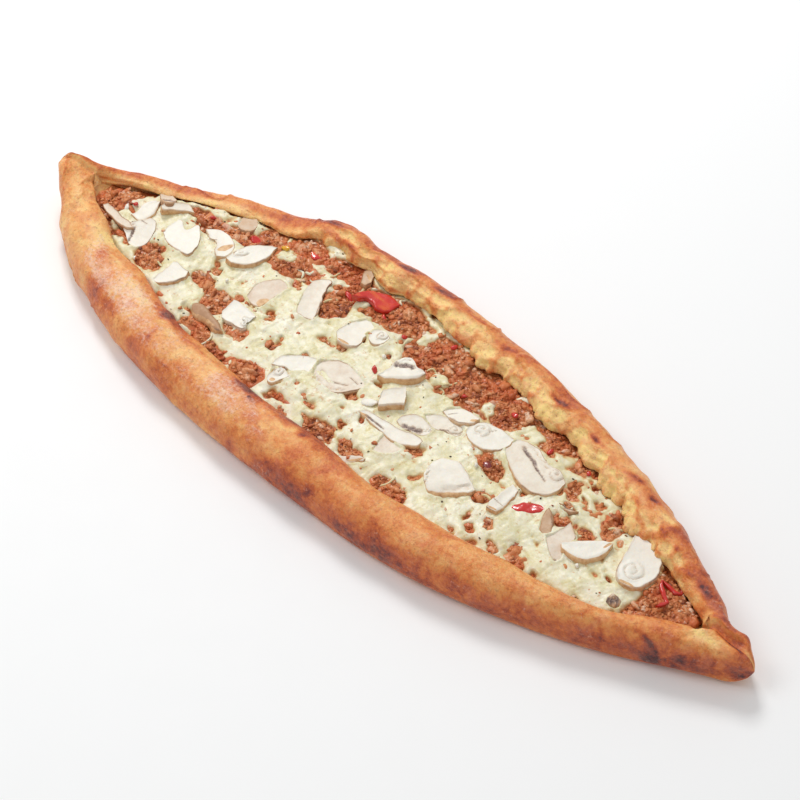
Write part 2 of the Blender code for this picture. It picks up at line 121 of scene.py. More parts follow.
# Blisters and pinholes: x, y, radius, height
BLISTERS = ((63, 46, 3.0, 0.9), (91, 40, 2.4, 0.8), (176, 8, 3.2, 0.4), (-88, 57, 3.0, 0.7),
            (131, 31, 2.6, 0.7), (28, 52, 4.0, 0.8), (-39, -47.5, 0.9, -1.2), (108, 28, 2.6, 0.6),
            (-153, -33, 2.2, 0.5), (70, 53, 1.6, 0.5), (150, 24, 2.4, 0.5), (-112, -56, 3.0, 0.5))

# Places where the meat lies bare: x, y, half length, half width, turn in degrees
BARE_PATCHES = (
    (-160, -12, 6, 4, 0), (-140, -15, 7, 6, 0), (-111, -9, 8, 4, 10), (-95, -14, 6, 6, -40),
    (-82, -33, 15, 4.5, -10), (-54, -33, 8.5, 4.5, -8), (-33, -34, 4, 2.5, 0),
    (-7, -36, 9, 6, 0), (9, -35, 7, 3.5, 0), (39, -39, 10, 6, 8), (106, -31, 5, 3, 0),
    (-120, 24, 22, 5, 18), (-105, 34, 9, 9, 20), (-87, 42, 12, 8, 12), (-84, 26, 13, 4.5, 10),
    (-62, 44, 14, 6, 0), (-53, 25, 8, 11, 10), (-30, 39, 21, 11, 0), (0, 33, 13, 13, 0),
    (25, 32, 23, 15, 0), (49, 33, 11, 13, 0), (78, 32, 19, 8, -14), (67, 1, 9, 5, -25),
    (100, 16, 4, 5, 0), (127, 15, 6, 10, 0), (-33, 7, 3.5, 2.2, 0), (-41, 3, 2.6, 1.8, 0),
    (-57, -15, 3.5, 2.4, 0), (-10, -13, 5, 3, 0), (34, -16, 4, 3, 0), (72, -15, 4, 3, 0),
    (118, 0, 5, 3, 0), (107, -2, 4, 3.5, 0), (-72, -20, 4, 2.5, 30), (90, 8, 4, 3, 0),
    (-20, -28, 3, 2, 0), (142, 14, 5, 4, -40), (-142, 22, 14, 3, 20), (104, 30, 8, 3, -20),
)
# Tongues of cheese that reach over the meat: x, y, half length, half width, turn
CHEESE_TONGUES = (
    (-45, 31, 3.2, 8, 8), (-9, 40, 3.4, 8, -8), (65, 27, 7, 5, 0), (110, 20, 11, 5, 0),
    (-20, 26, 6, 4, 20), (14, 22, 6, 4, 0), (40, 25, 4, 4, 0), (-92, 33, 9, 1.8, 12),
    (-75, 33, 5, 2.2, -20), (50, 40, 4, 2, 30), (-68, 28, 4, 2.5, 0), (84, 26, 5, 3.5, 0),
)

# Mushroom slices: x, y, lift over the cheese, thickness, how cooked (0 white, 1 tan), skin on the first
# side (0 none, 1 full), softness of the outline, roundness of the body (0 flat, 1 a stick); the two sides
# of the outline, both from one end to the other, in mm from x, y; and marks on the face:
# (kind, x, y, half length, half width, turn)
MUSHROOMS = (
    (-171, -6, 0.6, 2.5, 0.42, 0.1, 0.7, 0,
     ((-10.5, -0.5), (-7, -2.5), (-3.5, -3.5), (2, -4.5), (7.5, -5), (11.5, -5), (14, -2.5)),
     ((-10.5, -0.5), (-8.5, 1.5), (-4.5, 1), (0, 0), (5, -1), (9, -1), (14, -2.5)), ()),
    (-162, 5, 1.8, 3.5, 0.12, 0.8, 0.8, 0.25,
     ((-3, -7.5), (0, -8), (3, -8), (4.5, -5.5), (5, -1.5), (4.5, 1.5), (3, 5), (1, 8)),
     ((-3, -7.5), (-2, -5), (-2.5, -2.5), (-3.5, 0.5), (-3, 3.5), (-1.5, 6), (1, 8)), ()),
    (-161, 17, 1.6, 3, 0.55, 0.3, 0.6, 0,
     ((-5, 0), (0.5, -4.5), (5.5, -5.5), (7.5, -2.5), (5, 2)),
     ((-5, 0), (-7.5, 4.5), (-6, 6.5), (-0.5, 4.5), (5, 2)), (("gill", 3.5, -1.5, 3, 1.2, 35),)),
    (-150, 16, 2.4, 4, 0.3, 0.9, 0.15, 0,
     ((-6.5, -7), (-4, -8), (-2, -5), (1, -2), (3.5, 0.5), (6, 3)),
     ((-6.5, -7), (-6.5, -4), (-4.5, -1), (-2, 2), (0.5, 4.5), (3, 4.5), (6, 3)), ()),
    (-153, -8, 1, 3, 0.12, 0.6, 0.8, 0,
     ((-9, -3), (-5.5, -4.5), (-2.5, -6.5), (0.5, -8), (3.5, -7.5), (6, -5.5), (7, -2.5), (6, 2), (4, 6), (1, 9.5)),
     ((-9, -3), (-10.5, -1.5), (-9.5, 1), (-7, 2.5), (-6, 4.5), (-3.5, 7), (-2, 9.5), (1, 9.5)), (("gill", -3, -3, 4.5, 0.6, -66), ("edge", -3, 5.5, 2, 0.4, 6), ("frill", -7.5, -0.5, 3, 1.1, 39))),
    (-137, 4, 1.4, 3.5, 0.03, 1, 0.7, 0,
     ((-8, -4.5), (-4.5, -7), (-0.5, -8), (3.5, -8.5), (8, -8.5), (12.5, -8), (13, -6), (11.5, -1), (9, 3.5)),
     ((-8, -4.5), (-9.5, 0), (-9, 3), (-8.5, 6.5), (-6.5, 7), (-4, 4.5), (-1, 3), (0.5, 5), (0.5, 9), (2, 10), (5, 7.5), (9, 3.5)), (("frill", -3, 6.5, 2.5, 0.7, -11),)),
    (-122, 13, 1.6, 4, 0.1, 0.7, 0.8, 0,
     ((-10, 2), (-7.5, 4.5), (-3, 6.5), (1.5, 6.5), (6, 5), (9.5, 2.5), (11, -1), (11, -5), (7.5, -7.5)),
     ((-10, 2), (-6.5, 0), (-3.5, -1.5), (-1, -1), (2, -2), (3.5, -5.5), (7.5, -7.5)), (("tan", 6.5, -1, 4.5, 1.8, 73), ("edge", -1, -1, 1.5, 0.5, 62))),
    (-103, 18, 1.8, 3.5, 0.05, 1, 0.8, 0,
     ((-6, -11.5), (-2.5, -12), (0.5, -10.5), (3.5, -7.5), (5.5, -4), (6.5, 0.5), (6, 5.5), (5, 9), (4, 12.5)),
     ((-6, -11.5), (-6.5, -8), (-6.5, -4.5), (-6, 0), (-5, 3.5), (-3, 6), (0, 8.5), (2, 11), (4, 12.5)), (("curl", -4, -4.5, 4, 2.5, 52),)),
    (-123, -16, 2.2, 4, 0.03, 0.9, 0.6, 0,
     ((-4.5, -8.5), (-1, -8.5), (2, -6.5), (5, -3.5), (7, -0.5), (8, 1.5), (6.5, 5)),
     ((-4.5, -8.5), (-5, -5), (-4, -2), (-3.5, 1.5), (-4, 5), (-2, 6), (2, 5), (6.5, 5)), ()),
    (-91, -24, 3.4, 6, 1.05, 0.9, 0.8, 1,
     ((-9.5, -1), (-7, -3), (-3, -3.5), (0, -2.5), (3.5, -3), (8, -3.5), (11, -3), (12.5, -2)),
     ((-9.5, -1), (-11, 1.5), (-9.5, 3), (-6.5, 4), (-3, 3), (1.5, 2), (6.5, 1), (12.5, -2)), (("tan", 1, -2.5, 7, 0.9, 2), ("edge", 9.5, -3, 1.5, 0.5, 13))),
    (-83, -13, 1.4, 4, 0.03, 0.4, 0.35, 0,
     ((-2.5, -6.5), (1, -6.5), (5.5, -6), (9, -5.5), (10.5, -4), (9.5, -2)),
     ((-2.5, -6.5), (-5, -4), (-5.5, 0.5), (-6, 5), (-1.5, 5.5), (4, 5), (9.5, 4.5), (7.5, 2), (4.5, 1), (5, -1), (9.5, -2)), (("curl", 7.5, -2, 2, 2.5, 40),)),
    (-83, 8, 0.5, 2.2, 0.5, 0.2, 0.8, 0,
     ((-3.5, -10.5), (0, -12), (3.5, -12.5), (6, -11.5), (6.5, -7.5), (6.5, -3), (7, 1.5), (7.5, 7)),
     ((-3.5, -10.5), (-5, -7), (-6, -2.5), (-5, 2), (-2.5, 5.5), (0, 8.5), (3.5, 8.5), (7.5, 7)), (("tan", 5, -8, 3, 3, 0),)),
    (-63, 19, 1.2, 3.5, 0.32, 0.3, 0.6, 0,
     ((-8, 6.5), (-7, 1.5), (-5, -3.5), (-2, -9.5), (1, -13.5), (6, -13), (10, -11.5)),
     ((-8, 6.5), (-6, 10.5), (-2, 13.5), (-0.5, 12), (-0.5, 9), (1, 7), (1.5, 3.5), (4, 1), (5.5, -2.5), (8, -6), (10, -11.5)), (("edge", 1, 6.5, 5.5, 0.4, -66), ("edge", 6.5, -4.5, 6, 0.3, -60))),
    (-36, 18, 1, 3.5, 0.14, 0.5, 0.5, 0,
     ((-2.5, -9.5), (0, -12), (3.5, -11.5), (6.5, -10.5), (9, -8.5), (9.5, -5.5), (7.5, -2.5), (7, 1.5), (7.5, 7)),
     ((-2.5, -9.5), (-4.5, -7.5), (-4.5, -4), (-4, 0.5), (-2.5, 4.5), (-0.5, 8), (2.5, 8.5), (7.5, 7)), (("tan", 2.5, -10.5, 3.5, 0.9, 2),)),
    (-24, 21, 1.6, 4, 0.12, 0.7, 0.8, 0,
     ((-2.5, -4), (0, -5.5), (3, -5.5), (5, -2.5), (5, 0.5), (4.5, 3)),
     ((-2.5, -4), (-4, -1.5), (-4, 1.5), (-2.5, 3.5), (0.5, 4.5), (4.5, 3)), (("curl", 1, 1, 3, 2.5, 43),)),
    (-42, -27, 1.6, 4, 0.1, 0.9, 0.8, 0,
     ((-2, -4.5), (0, -6), (2.5, -5), (3.5, -2), (4.5, 0), (5, 3)),
     ((-2, -4.5), (-3, -2.5), (-2.5, 0.5), (-2.5, 3), (0, 5), (5, 3)), (("curl", -0.5, 1.5, 2.5, 2, 41), ("tan", 0.5, -3.5, 1.5, 1.0, 27))),
    (-43, -14, 1.3, 3.5, 0.06, 0.4, 0.45, 0,
     ((-5.5, -10), (-2.5, -9), (0.5, -7), (4, -7.5), (6, -5), (8, -2.5), (11, -2.5), (10, 1.5), (8.5, 6.5)),
     ((-5.5, -10), (-6, -7), (-5.5, -3.5), (-3.5, -0.5), (0, 2.5), (4, 5), (8.5, 6.5)), (("edge", 10, 0.5, 2, 0.4, 95),)),
    (-22, -7, 0.9, 3.2, 0.38, 0.4, 0.6, 0,
     ((-9.5, -8.5), (-5.5, -10.5), (-2, -11), (1.5, -10.5), (5, -11), (8, -9), (10, -5.5), (12.5, -2), (14, 1), (14.5, 4.5)),
     ((-9.5, -8.5), (-11.5, -5), (-12, -0.5), (-9.5, 2.5), (-6, 5.5), (-1.5, 7), (3.5, 6.5), (9.5, 5.5), (14.5, 4.5)), (("gill", -4, -5, 4, 0.6, -21), ("line", 3.5, -4.5, 5, 0.4, 25), ("frill", -5.5, -8.5, 4.5, 1.1, -12), ("frill", 4.5, -8, 5, 1.0, 32), ("line", 8, 1.5, 3, 0.3, -6))),
    (-2, 13, 4.4, 7, 0.12, 1, 0.7, 0.2,
     ((-4.5, -11), (-0.5, -9.5), (3, -7), (6.5, -4), (9.5, -0.5), (10.5, 3), (10.5, 5)),
     ((-4.5, -11), (-4, -7.5), (-4, -3.5), (-4.5, 1), (-3.5, 4.5), (-1, 7), (2, 6.5), (5.5, 4.5), (8, 5.5), (10.5, 5)), (("gill", 0.5, 1.5, 5, 1.3, 28), ("frill", -1, 5, 2.5, 0.7, 38))),
    (6, -1, 4.4, 7, 0.2, 0.8, 0.12, 0,
     ((-2.5, -6.5), (0, -10), (4, -5.5), (8, -1.5), (5.5, 2.5)),
     ((-2.5, -6.5), (-4.5, -2), (-3, 1), (-0.5, 3.5), (2, 6.5), (5.5, 2.5)), ()),
    (20, -16, 1.2, 3.5, 0.14, 0.8, 0.7, 0,
     ((-20, -1.5), (-15.5, -2), (-11, -3), (-6, -3.5), (-1.5, -3.5), (2.5, -4), (7, -3), (11, -0.5), (13.5, 1.5), (13.5, 5)),
     ((-20, -1.5), (-18, 1.5), (-13.5, 2), (-9, 2.5), (-5, 3), (-1, 3), (3.5, 4), (7.5, 5.5), (11.5, 6), (13.5, 5)), (("gill", -10.5, -1, 6, 0.5, -3), ("tan", -15.5, -1, 4, 0.8, 1))),
    (24, -5, 0.9, 3.2, 0.2, 0.6, 0.8, 0,
     ((-7.5, -5), (-4, -6), (-0.5, -6), (3, -5), (6, -4), (8, -2.5), (8, 3)),
     ((-7.5, -5), (-8, -2), (-6.5, 1), (-4, 3.5), (-0.5, 4.5), (3, 4), (8, 3)), (("gill", 0.5, -3.5, 5, 1.3, 20), ("frill", 5.5, 0, 3, 1.1, 45))),
    (30, 3, 1, 3.2, 0.26, 0.5, 0.8, 0,
     ((-7.5, -2), (-4, -3.5), (0, -5), (3.5, -4.5), (5.5, -2.5), (9, -2.5), (12, -1.5), (13, 1), (12, 5)),
     ((-7.5, -2), (-5, 1), (-1.5, 3.5), (2.5, 5), (6.5, 5.5), (12, 5)), (("curl", 9, 1, 3.5, 2.5, 43), ("edge", 5.5, -2, 2.5, 0.6, 27))),
    (35, 13, 1.2, 3, 0.14, 0.6, 0.7, 0,
     ((-8, -4), (-4, -5.5), (0, -6), (3.5, -5), (6.5, -3.5), (8.5, -1), (8.5, 2.5)),
     ((-8, -4), (-7.5, -1), (-5, 1.5), (-1.5, 3), (3, 3.5), (8.5, 2.5)), (("tan", 7.5, 0, 2, 1.0, 39), ("line", -3.5, -2, 2.5, 0.3, 48), ("line", -1.5, -5, 2, 0.3, 5))),
    (51, 12, 1.8, 3.8, 0.08, 1, 0.85, 0,
     ((-6.5, -6.5), (-3, -8.5), (1, -9), (4.5, -8.5), (8, -6.5), (10.5, -4), (11.5, -1), (12, 2.5), (11, 6)),
     ((-6.5, -6.5), (-8, -4), (-8, -0.5), (-6.5, 3), (-4, 5), (0, 6), (4, 6.5), (7.5, 6), (11, 6)), (("curl", -3, 0, 4, 3.5, 46), ("line", 1, 3, 2, 0.3, 64))),
    (78, 11, 1.2, 3.6, 0.3, 1, 0.85, 0,
     ((-16.5, 4), (-15.5, 0), (-11.5, -3.5), (-6.5, -6.5), (-1, -9.5), (4, -11.5), (9.5, -11.5), (14, -9.5), (17, -6), (18, -1.5), (17, 4)),
     ((-16.5, 4), (-15, 8.5), (-11, 10.5), (-7, 10.5), (-3.5, 10.5), (0.5, 8), (4, 6.5), (8, 6.5), (11, 7), (17, 4)), (("gill", -4.5, 4.5, 6.5, 0.8, -23), ("gill", 5, 0, 5.5, 0.5, -23), ("frill", -0.5, 7, 7.5, 1.1, -17), ("curl", 11, 4, 3.5, 3.5, 46))),
    (54, -18, 2.6, 6, 0.14, 1, 0.8, 0.5,
     ((-5.5, -8.5), (-2, -11), (0.5, -12.5), (4, -11), (7, -8), (10, -4.5), (13, -1.5), (15.5, 2)),
     ((-5.5, -8.5), (-8, -6), (-9, -2), (-9.5, 2), (-8, 6), (-5, 7.5), (-1, 9), (2.5, 8.5), (7.5, 6.5), (15.5, 2)), (("tan", 2.5, -10.5, 3, 1.0, 35), ("frill", -6, -5.5, 6, 0.7, 121), ("facet", 8.5, -2.5, 6.5, 1.5, 49))),
    (23, -26, 0.4, 2.2, 0.42, 0.2, 0.15, 0,
     ((-3.5, -3.5), (0, -3), (3.5, -0.5), (6, 2.5), (6.5, 6.5)),
     ((-3.5, -3.5), (-4.5, 1), (-5.5, 5), (-6.5, 8.5), (-1.5, 7), (3, 6.5), (6.5, 6.5)), ()),
    (16, -36, 1.8, 4.5, 0.35, 0.9, 0.4, 0.5,
     ((-5.5, -9), (-2.5, -8.5), (-0.5, -7), (2, -4.5), (3.5, -2), (5.5, -0.5), (5, 1)),
     ((-5.5, -9), (-5.5, -5.5), (-3, -4), (-1, -1.5), (2, 1), (5, 1)), (("tan", 2, -2.5, 4, 0.6, 46),)),
    (80, -9, 3, 5, 0.1, 0.9, 0.25, 0.25,
     ((-0.5, -11), (2, -10.5), (4.5, -10), (5, -7), (4.5, -3), (4, 2), (3, 6)),
     ((-0.5, -11), (-1.5, -8), (-1.5, -4.5), (-1.5, -1.5), (-1.5, 2.5), (-1.5, 7), (3, 6)), (("edge", 1.5, -5.5, 3, 0.4, -2), ("tan", 2, -10, 2.5, 0.6, 11))),
    (113, -11, 0.8, 3, 0.46, 0.3, 0.15, 0,
     ((-5.5, -2.5), (-3, -4.5), (0, -7), (3, -9), (6.5, -10.5), (8, -7.5)),
     ((-5.5, -2.5), (-3.5, 0.5), (-2.5, 5), (-1.5, 10), (2, 8), (5.5, 5.5), (5.5, 0), (8, -7.5)), (("gill", 5.5, -10.5, 2, 0.9, 51), ("edge", 1.5, -8, 4, 0.3, -28))),
    (127, -5, 3.6, 5.5, 0.04, 1, 0.85, 0.3,
     ((-11, -7.5), (-9, -9.5), (-5, -10), (-1, -9.5), (3, -7), (6, -2), (6.5, 3), (5.5, 7.5)),
     ((-11, -7.5), (-9.5, -5.5), (-6, -1.5), (-2.5, 2.5), (1, 6), (5.5, 7.5)), (("tan", 4.5, 5, 2.5, 0.8, 72),)),
    (146, 1, 1.8, 4.5, 0.02, 0.8, 0.8, 0,
     ((-10.5, 12.5), (-8, 14), (-4, 14.5), (0.5, 14), (4, 12), (8, 9), (10, 4.5), (11, 0), (10.5, -4), (10, -8.5), (7.5, -11.5), (4.5, -12.5), (1.5, -12.5)),
     ((-10.5, 12.5), (-8.5, 7), (-6.5, 1), (-5, -4), (-2.5, -9.5), (1.5, -12.5)), (("curl", 2, -4, 5, 5, 49), ("tan", 4.5, -11, 4, 1.0, 13))),
    (150, -18, 2.4, 5, 0.55, 0.3, 0.5, 0.6,
     ((-0.5, -4), (1.5, -4.5), (4, -3.5), (5, -1.5), (4, 0.5)),
     ((-0.5, -4), (-1.5, -2), (-1, 0.5), (0.5, 1), (2.5, 1), (4, 0.5)), (("gill", 1, -2, 3, 1.6, 37),)),
    (102, -7, 1.8, 3.5, 0.85, 0.6, 0.6, 0.6,
     ((-3, 5.5), (-2.5, 2), (-1, -2), (1, -5.5), (3.5, -6.5), (6, -5.5)),
     ((-3, 5.5), (-0.5, 5), (2.5, 2.5), (5, -0.5), (6.5, -3), (6, -5.5)), (("edge", 2.5, 1.5, 3.5, 0.3, -45),)),
    (105, 6, 2, 3, 0.75, 0.4, 0.6, 0.6,
     ((-4, -2.5), (-1, -3.5), (1.5, -3.5), (3.5, -2.5), (5, 0)),
     ((-4, -2.5), (-2.5, -1), (-0.5, -1.5), (2, -0.5), (5, 0)), (("gill", 0.5, -1.5, 4, 0.7, 24),)),
    (-121, 30, 1, 3, 0.7, 0.3, 0.7, 0,
     ((-3.5, -1.5), (0.5, -3.5), (3.5, -3), (5.5, -0.5), (5.5, 2), (4, 5.5)),
     ((-3.5, -1.5), (-6.5, 3.5), (-5.5, 7), (-3.5, 9), (-0.5, 8.5), (4, 5.5)), ()),
    (-54, 44, 1.2, 3.5, 0.75, 0.5, 0.6, 0,
     ((-0.5, -2.5), (2.5, -3), (3, 0.5), (0.5, 5)),
     ((-0.5, -2.5), (-3.5, 1), (-4.5, 4), (-3.5, 6.5), (0.5, 5)), (("tan", 0, 2, 3, 0.7, -30),)),
)
# Pepper strips, like the slices, with their tone (0 yellow, 0.5 red, 1 dark red) in place of cooked
PEPPERS = (
    (-40, 41, 1.6, 3, 0.5, 0, 0.6, 0.6,
     ((-9, -11.5), (-6, -9), (-4.5, -6), (-1, -6.5), (2.5, -7.5), (6, -6), (8, -3), (7.5, 3)),
     ((-9, -11.5), (-9, -7), (-8.5, -2.5), (-6.5, 0.5), (-2.5, 2.5), (0.5, 4.5), (4.5, 4), (7.5, 3)), ()),
    (90, -5, 1.8, 4, 0.58, 0, 0.6, 0.6,
     ((-3, -7), (0.5, -6.5), (3, -5), (5.5, -2.5), (8, 0), (8, 2.5)),
     ((-3, -7), (-4, -5), (-2.5, -2.5), (-1, 0), (2, 2), (5, 3.5), (8, 2.5)), ()),
    (164, 1, 1.6, 1.6, 0.6, 0, 0.2, 0.6,
     ((3, -12), (5, -9), (5.5, -5.5), (2, -3.5), (-1, -1), (-4, 1.5), (0, 0.5), (4, -0.5), (6.5, 2.5)),
     ((3, -12), (3, -8.5), (4.5, -6.5), (1, -5), (-2.5, -2.5), (-5, 2), (0, 2.5), (4, 2), (6.5, 2.5)), ()),
    (-82, 39, 1, 3, 0.5, 0, 0.8, 0.8,
     ((-3, 0), (-1.5, -2), (1, -2.5), (3, 0.5)),
     ((-3, 0), (-2, 2), (0.5, 2.5), (2.5, 2), (3, 0.5)), ()),
    (-109, 27, 1, 3, 0.5, 0, 0.8, 0.8,
     ((-3, 0), (-1.5, -2), (1, -2.5), (3, 0.5)),
     ((-3, 0), (-2, 2), (0.5, 2.5), (2.5, 2), (3, 0.5)), ()),
)
# White bits of mushroom: x, y, length, width
MUSHROOM_BITS = ((-171, 0, 4, 2), (-145, -19, 2.5, 2), (0, -11, 8, 4), (-100, -2, 2, 1.6), (60, -5, 2.4, 1.8),
                 (128, -16, 2.2, 1.6), (-14, 14, 2.5, 1.8))
# Small bits of pepper: x, y, length, width, redness (0 yellow, 1 red, 2 dark red)
PEPPER_BITS = ((-52, 31, 7, 2.5, 1.0), (52, 30, 4.5, 3, 1.1), (63, -1, 5, 3.5, 2.0), (77, 25, 3.5, 2.2, 1.0),
               (-11, 5, 4, 2.6, 1.2), (-169, 4, 3.5, 2.5, 1.2), (-16, 30, 3.5, 2.5, 1.1),
               (-96, 33, 4.5, 2.8, 0.0), (-47, 36, 4, 2, 1.0), (28, 22, 4, 3, 1.3), (-32, 33, 4, 2, 0.8),
               (168, 6, 5, 2, 1.0), (-136, 24, 3, 2, 1.3), (5, 41, 4, 2, 1.0), (98, 27, 3, 2, 1.2))


def along(table, x):
    """A size along the boat: between the table's places it eases as t*t*(3 - 2t)."""
    places = np.array([place for place, _ in table], float)
    sizes = np.array([size for _, size in table], float)
    x = np.clip(x, places[0], places[-1])
    right = np.clip(np.searchsorted(places, x, side="right"), 1, len(places) - 1)
    share = (x - places[right - 1]) / (places[right] - places[right - 1])
    return sizes[right - 1] + (sizes[right] - sizes[right - 1]) * share * share * (3 - 2 * share)


def bulge(x, places):
    """The highest of some humps: depth times cos squared of a quarter turn over the half length."""
    most = np.zeros_like(x)
    for place, half, depth in places:
        share = np.clip(np.abs(x - place) / half, 0, 1)
        most = np.maximum(most, depth * np.cos(math.pi / 2 * share) ** 2)
    return most


def reach(x, peak, powers, most):
    """Distance from the axis to a rim's outer edge: most * (1 - share ** power) on either side."""
    left = np.clip((peak - x) / (peak + HALF_LENGTH), 0, 1)
    right = np.clip((x - peak) / (HALF_LENGTH - peak), 0, 1)
    return most * np.where(x < peak, 1 - left ** powers[0], 1 - right ** powers[1])


def nose(x):
    """1 along the boat, falling to 0 at each tip like a quarter circle."""
    over = np.clip(np.abs(x) - (HALF_LENGTH - NOSE_LENGTH), 0, NOSE_LENGTH) / NOSE_LENGTH
    return np.sqrt(np.maximum(0.0, 1 - over * over))


def outer_edges(x):
    """Y of the near and the far outer edge: each reach joined to the knob as a hypotenuse."""
    near = np.hypot(reach(x, NEAR_PEAK_X, NEAR_POWERS, NEAR_REACH), KNOB_HALF_WIDTH)
    far = np.hypot(reach(x, FAR_PEAK_X, FAR_POWERS, FAR_REACH) + bulge(x, (FAR_SHOULDER,)), KNOB_HALF_WIDTH)
    near *= NEAR_REACH / math.hypot(NEAR_REACH, KNOB_HALF_WIDTH) * nose(x)
    far *= FAR_REACH / math.hypot(FAR_REACH, KNOB_HALF_WIDTH) * nose(x)
    return AXIS_Y - near, AXIS_Y + far


def lips(x, ragged=0.0):
    """Y of the near and the far lip, which meet in a seam beyond the opening."""
    near_edge, far_edge = outer_edges(x)
    near_width = along(NEAR_WIDTHS, x)
    far_width = along(FAR_WIDTHS, x) + bulge(x, FAR_LOBES) + ragged
    near_lip, far_lip = near_edge + near_width, far_edge - far_width
    seam = near_edge + (far_edge - near_edge) * near_width / (near_width + far_width)
    is_open = opened(x) & (far_lip > near_lip)
    return np.where(is_open, near_lip, seam), np.where(is_open, far_lip, seam)


def opened(x):
    return (x > OPENING_LEFT) & (x < OPENING_RIGHT)


def openness(x):
    """0 at the ends of the opening, 1 where the hollow has its full depth, as a quarter sine."""
    inside = np.minimum(x - OPENING_LEFT, OPENING_RIGHT - x)
    return np.sin(np.clip(inside / OPENING_RAMP, 0, 1) * math.pi / 2)


def filling_top(x, y):
    """Height of the meat: a parabola across, lower at both ends, plus two crossed waves."""
    near_lip, far_lip = lips(x)
    half = np.maximum(1.0, (far_lip - near_lip) / 2)
    across = (y - (near_lip + far_lip) / 2) / half
    top = FILLING_EDGE + FILLING_CROWN * np.maximum(0.0, 1 - across * across)
    for x_length, y_length, height, phase in BUMP_WAVES:
        top = top + height * np.sin(math.tau * x / x_length + phase) * np.cos(math.tau * y / y_length)
    return top - FILLING_END_DROP * (1 - openness(x))


def smooth(low, high, value):
    """0 below low, 1 above high, eased as t*t*(3 - 2t) between them."""
    t = np.clip((value - low) / (high - low), 0, 1)
    return t * t * (3 - 2 * t)


def hashed(i, j, k, seed):
    """A fixed number from 0 to 1 for every point of a whole-numbered lattice."""
    h = (i * 73856093 + j * 19349663 + k * 83492791 + seed * 2654435761) & 0xFFFFFFFF
    for shift, factor in ((15, 0x2C1B3C6D), (12, 0x297A2D39), (15, 1)):
        h = ((h ^ (h >> shift)) * factor) & 0xFFFFFFFF
    return h / 4294967295.0


def noise(x, y, z, size, seed=0):
    """Smooth noise from -1 to 1: lattice values a size apart, eased between the eight corners."""
    x, y, z = np.broadcast_arrays(np.asarray(x, float), np.asarray(y, float), np.asarray(z, float))
    place = [value / size for value in (x, y, z)]
    low = [np.floor(value).astype(np.int64) for value in place]
    ease = [(p - l) ** 3 * ((p - l) * ((p - l) * 6 - 15) + 10) for p, l in zip(place, low)]
    total = np.zeros(x.shape)
    for corner in range(8):
        steps = (corner & 1, corner >> 1 & 1, corner >> 2 & 1)
        weight = np.ones(x.shape)
        for step, t in zip(steps, ease):
            weight = weight * (t if step else 1 - t)
        total += weight * hashed(*(l + step for l, step in zip(low, steps)), seed)
    return total * 2 - 1


def rough(x, y, z, size, seed=0, octaves=3):
    """Noise at a size, half of it at half the size, and so on; about -1 to 1."""
    total = sum(noise(x, y, z, size / 2 ** n, seed + 17 * n) / 2 ** n for n in range(octaves))
    return total / (2 - 2 ** (1 - octaves))


def cells(x, y, size, seed=0):
    """Distance, in cell sizes, to the nearest of some jittered points, and that point's number."""
    i, j = np.floor(x / size).astype(np.int64), np.floor(y / size).astype(np.int64)
    best = np.full(x.shape, 9.0)
    name = np.zeros(x.shape)
    for di in (-1, 0, 1):
        for dj in (-1, 0, 1):
            a, b = i + di, j + dj
            px = (a + 0.15 + 0.7 * hashed(a, b, a * 0 + 1, seed)) * size
            py = (b + 0.15 + 0.7 * hashed(a, b, a * 0 + 2, seed)) * size
            away = np.hypot(x - px, y - py) / size
            nearer = away < best
            best = np.where(nearer, away, best)
            name = np.where(nearer, hashed(a, b, a * 0 + 3, seed), name)
    return best, name


def marks(x, y, rows, wander=0.0, seed=0):
    """Sum of soft round marks: strength * exp(-2 q), q the squared distance in radii."""
    dx = wander * noise(x, y, 0, 9, seed)
    dy = wander * noise(x, y, 0, 9, seed + 1)
    total = np.zeros(np.shape(x))
    for mark_x, mark_y, half_x, half_y, strength in rows:
        q = ((x + dx - mark_x) / half_x) ** 2 + ((y + dy - mark_y) / half_y) ** 2
        total = total + strength * np.exp(-1.6 * q)
    return total


def linear(red, green, blue):
    """A colour given as 0-255 screen values, in the linear values that shaders take."""
    return tuple((c / 255 / 12.92 if c <= 10 else ((c / 255 + 0.055) / 1.055) ** 2.4)
                 for c in (red, green, blue)) + (1.0,)


# ---------------------------------------------------------------- meshes

def new_mesh(name, points, faces, material, attributes=None, recalc=True):
    """A mesh object from points in millimetres: doubles merged, faces outwards, smooth."""
    mesh = bpy.data.meshes.new(name)
    mesh.from_pydata((np.asarray(points) * MM).tolist(), [], np.asarray(faces).tolist())
    for key, values in (attributes or {}).items():
        layer = mesh.attributes.new(key, "FLOAT", "POINT")
        layer.data.foreach_set("value", np.asarray(values, np.float32).ravel())
    if recalc:
        bm = bmesh.new()
        bm.from_mesh(mesh)
        bmesh.ops.remove_doubles(bm, verts=bm.verts, dist=0.004 * MM)
        bmesh.ops.dissolve_degenerate(bm, edges=bm.edges, dist=0.002 * MM)
        bmesh.ops.recalc_face_normals(bm, faces=bm.faces)
        bm.to_mesh(mesh)
        bm.free()
    mesh.shade_smooth()
    mesh.materials.append(material)
    made = bpy.data.objects.new(name, mesh)
    bpy.context.scene.collection.objects.link(made)
    return made


def loft_faces(stations, ring):
    """Quads between equal closed rings, one ring after the other."""
    i, j = np.meshgrid(np.arange(stations - 1), np.arange(ring), indexing="ij")
    k = (j + 1) % ring
    return np.stack([i * ring + j, i * ring + k, (i + 1) * ring + k, (i + 1) * ring + j], -1).reshape(-1, 4)


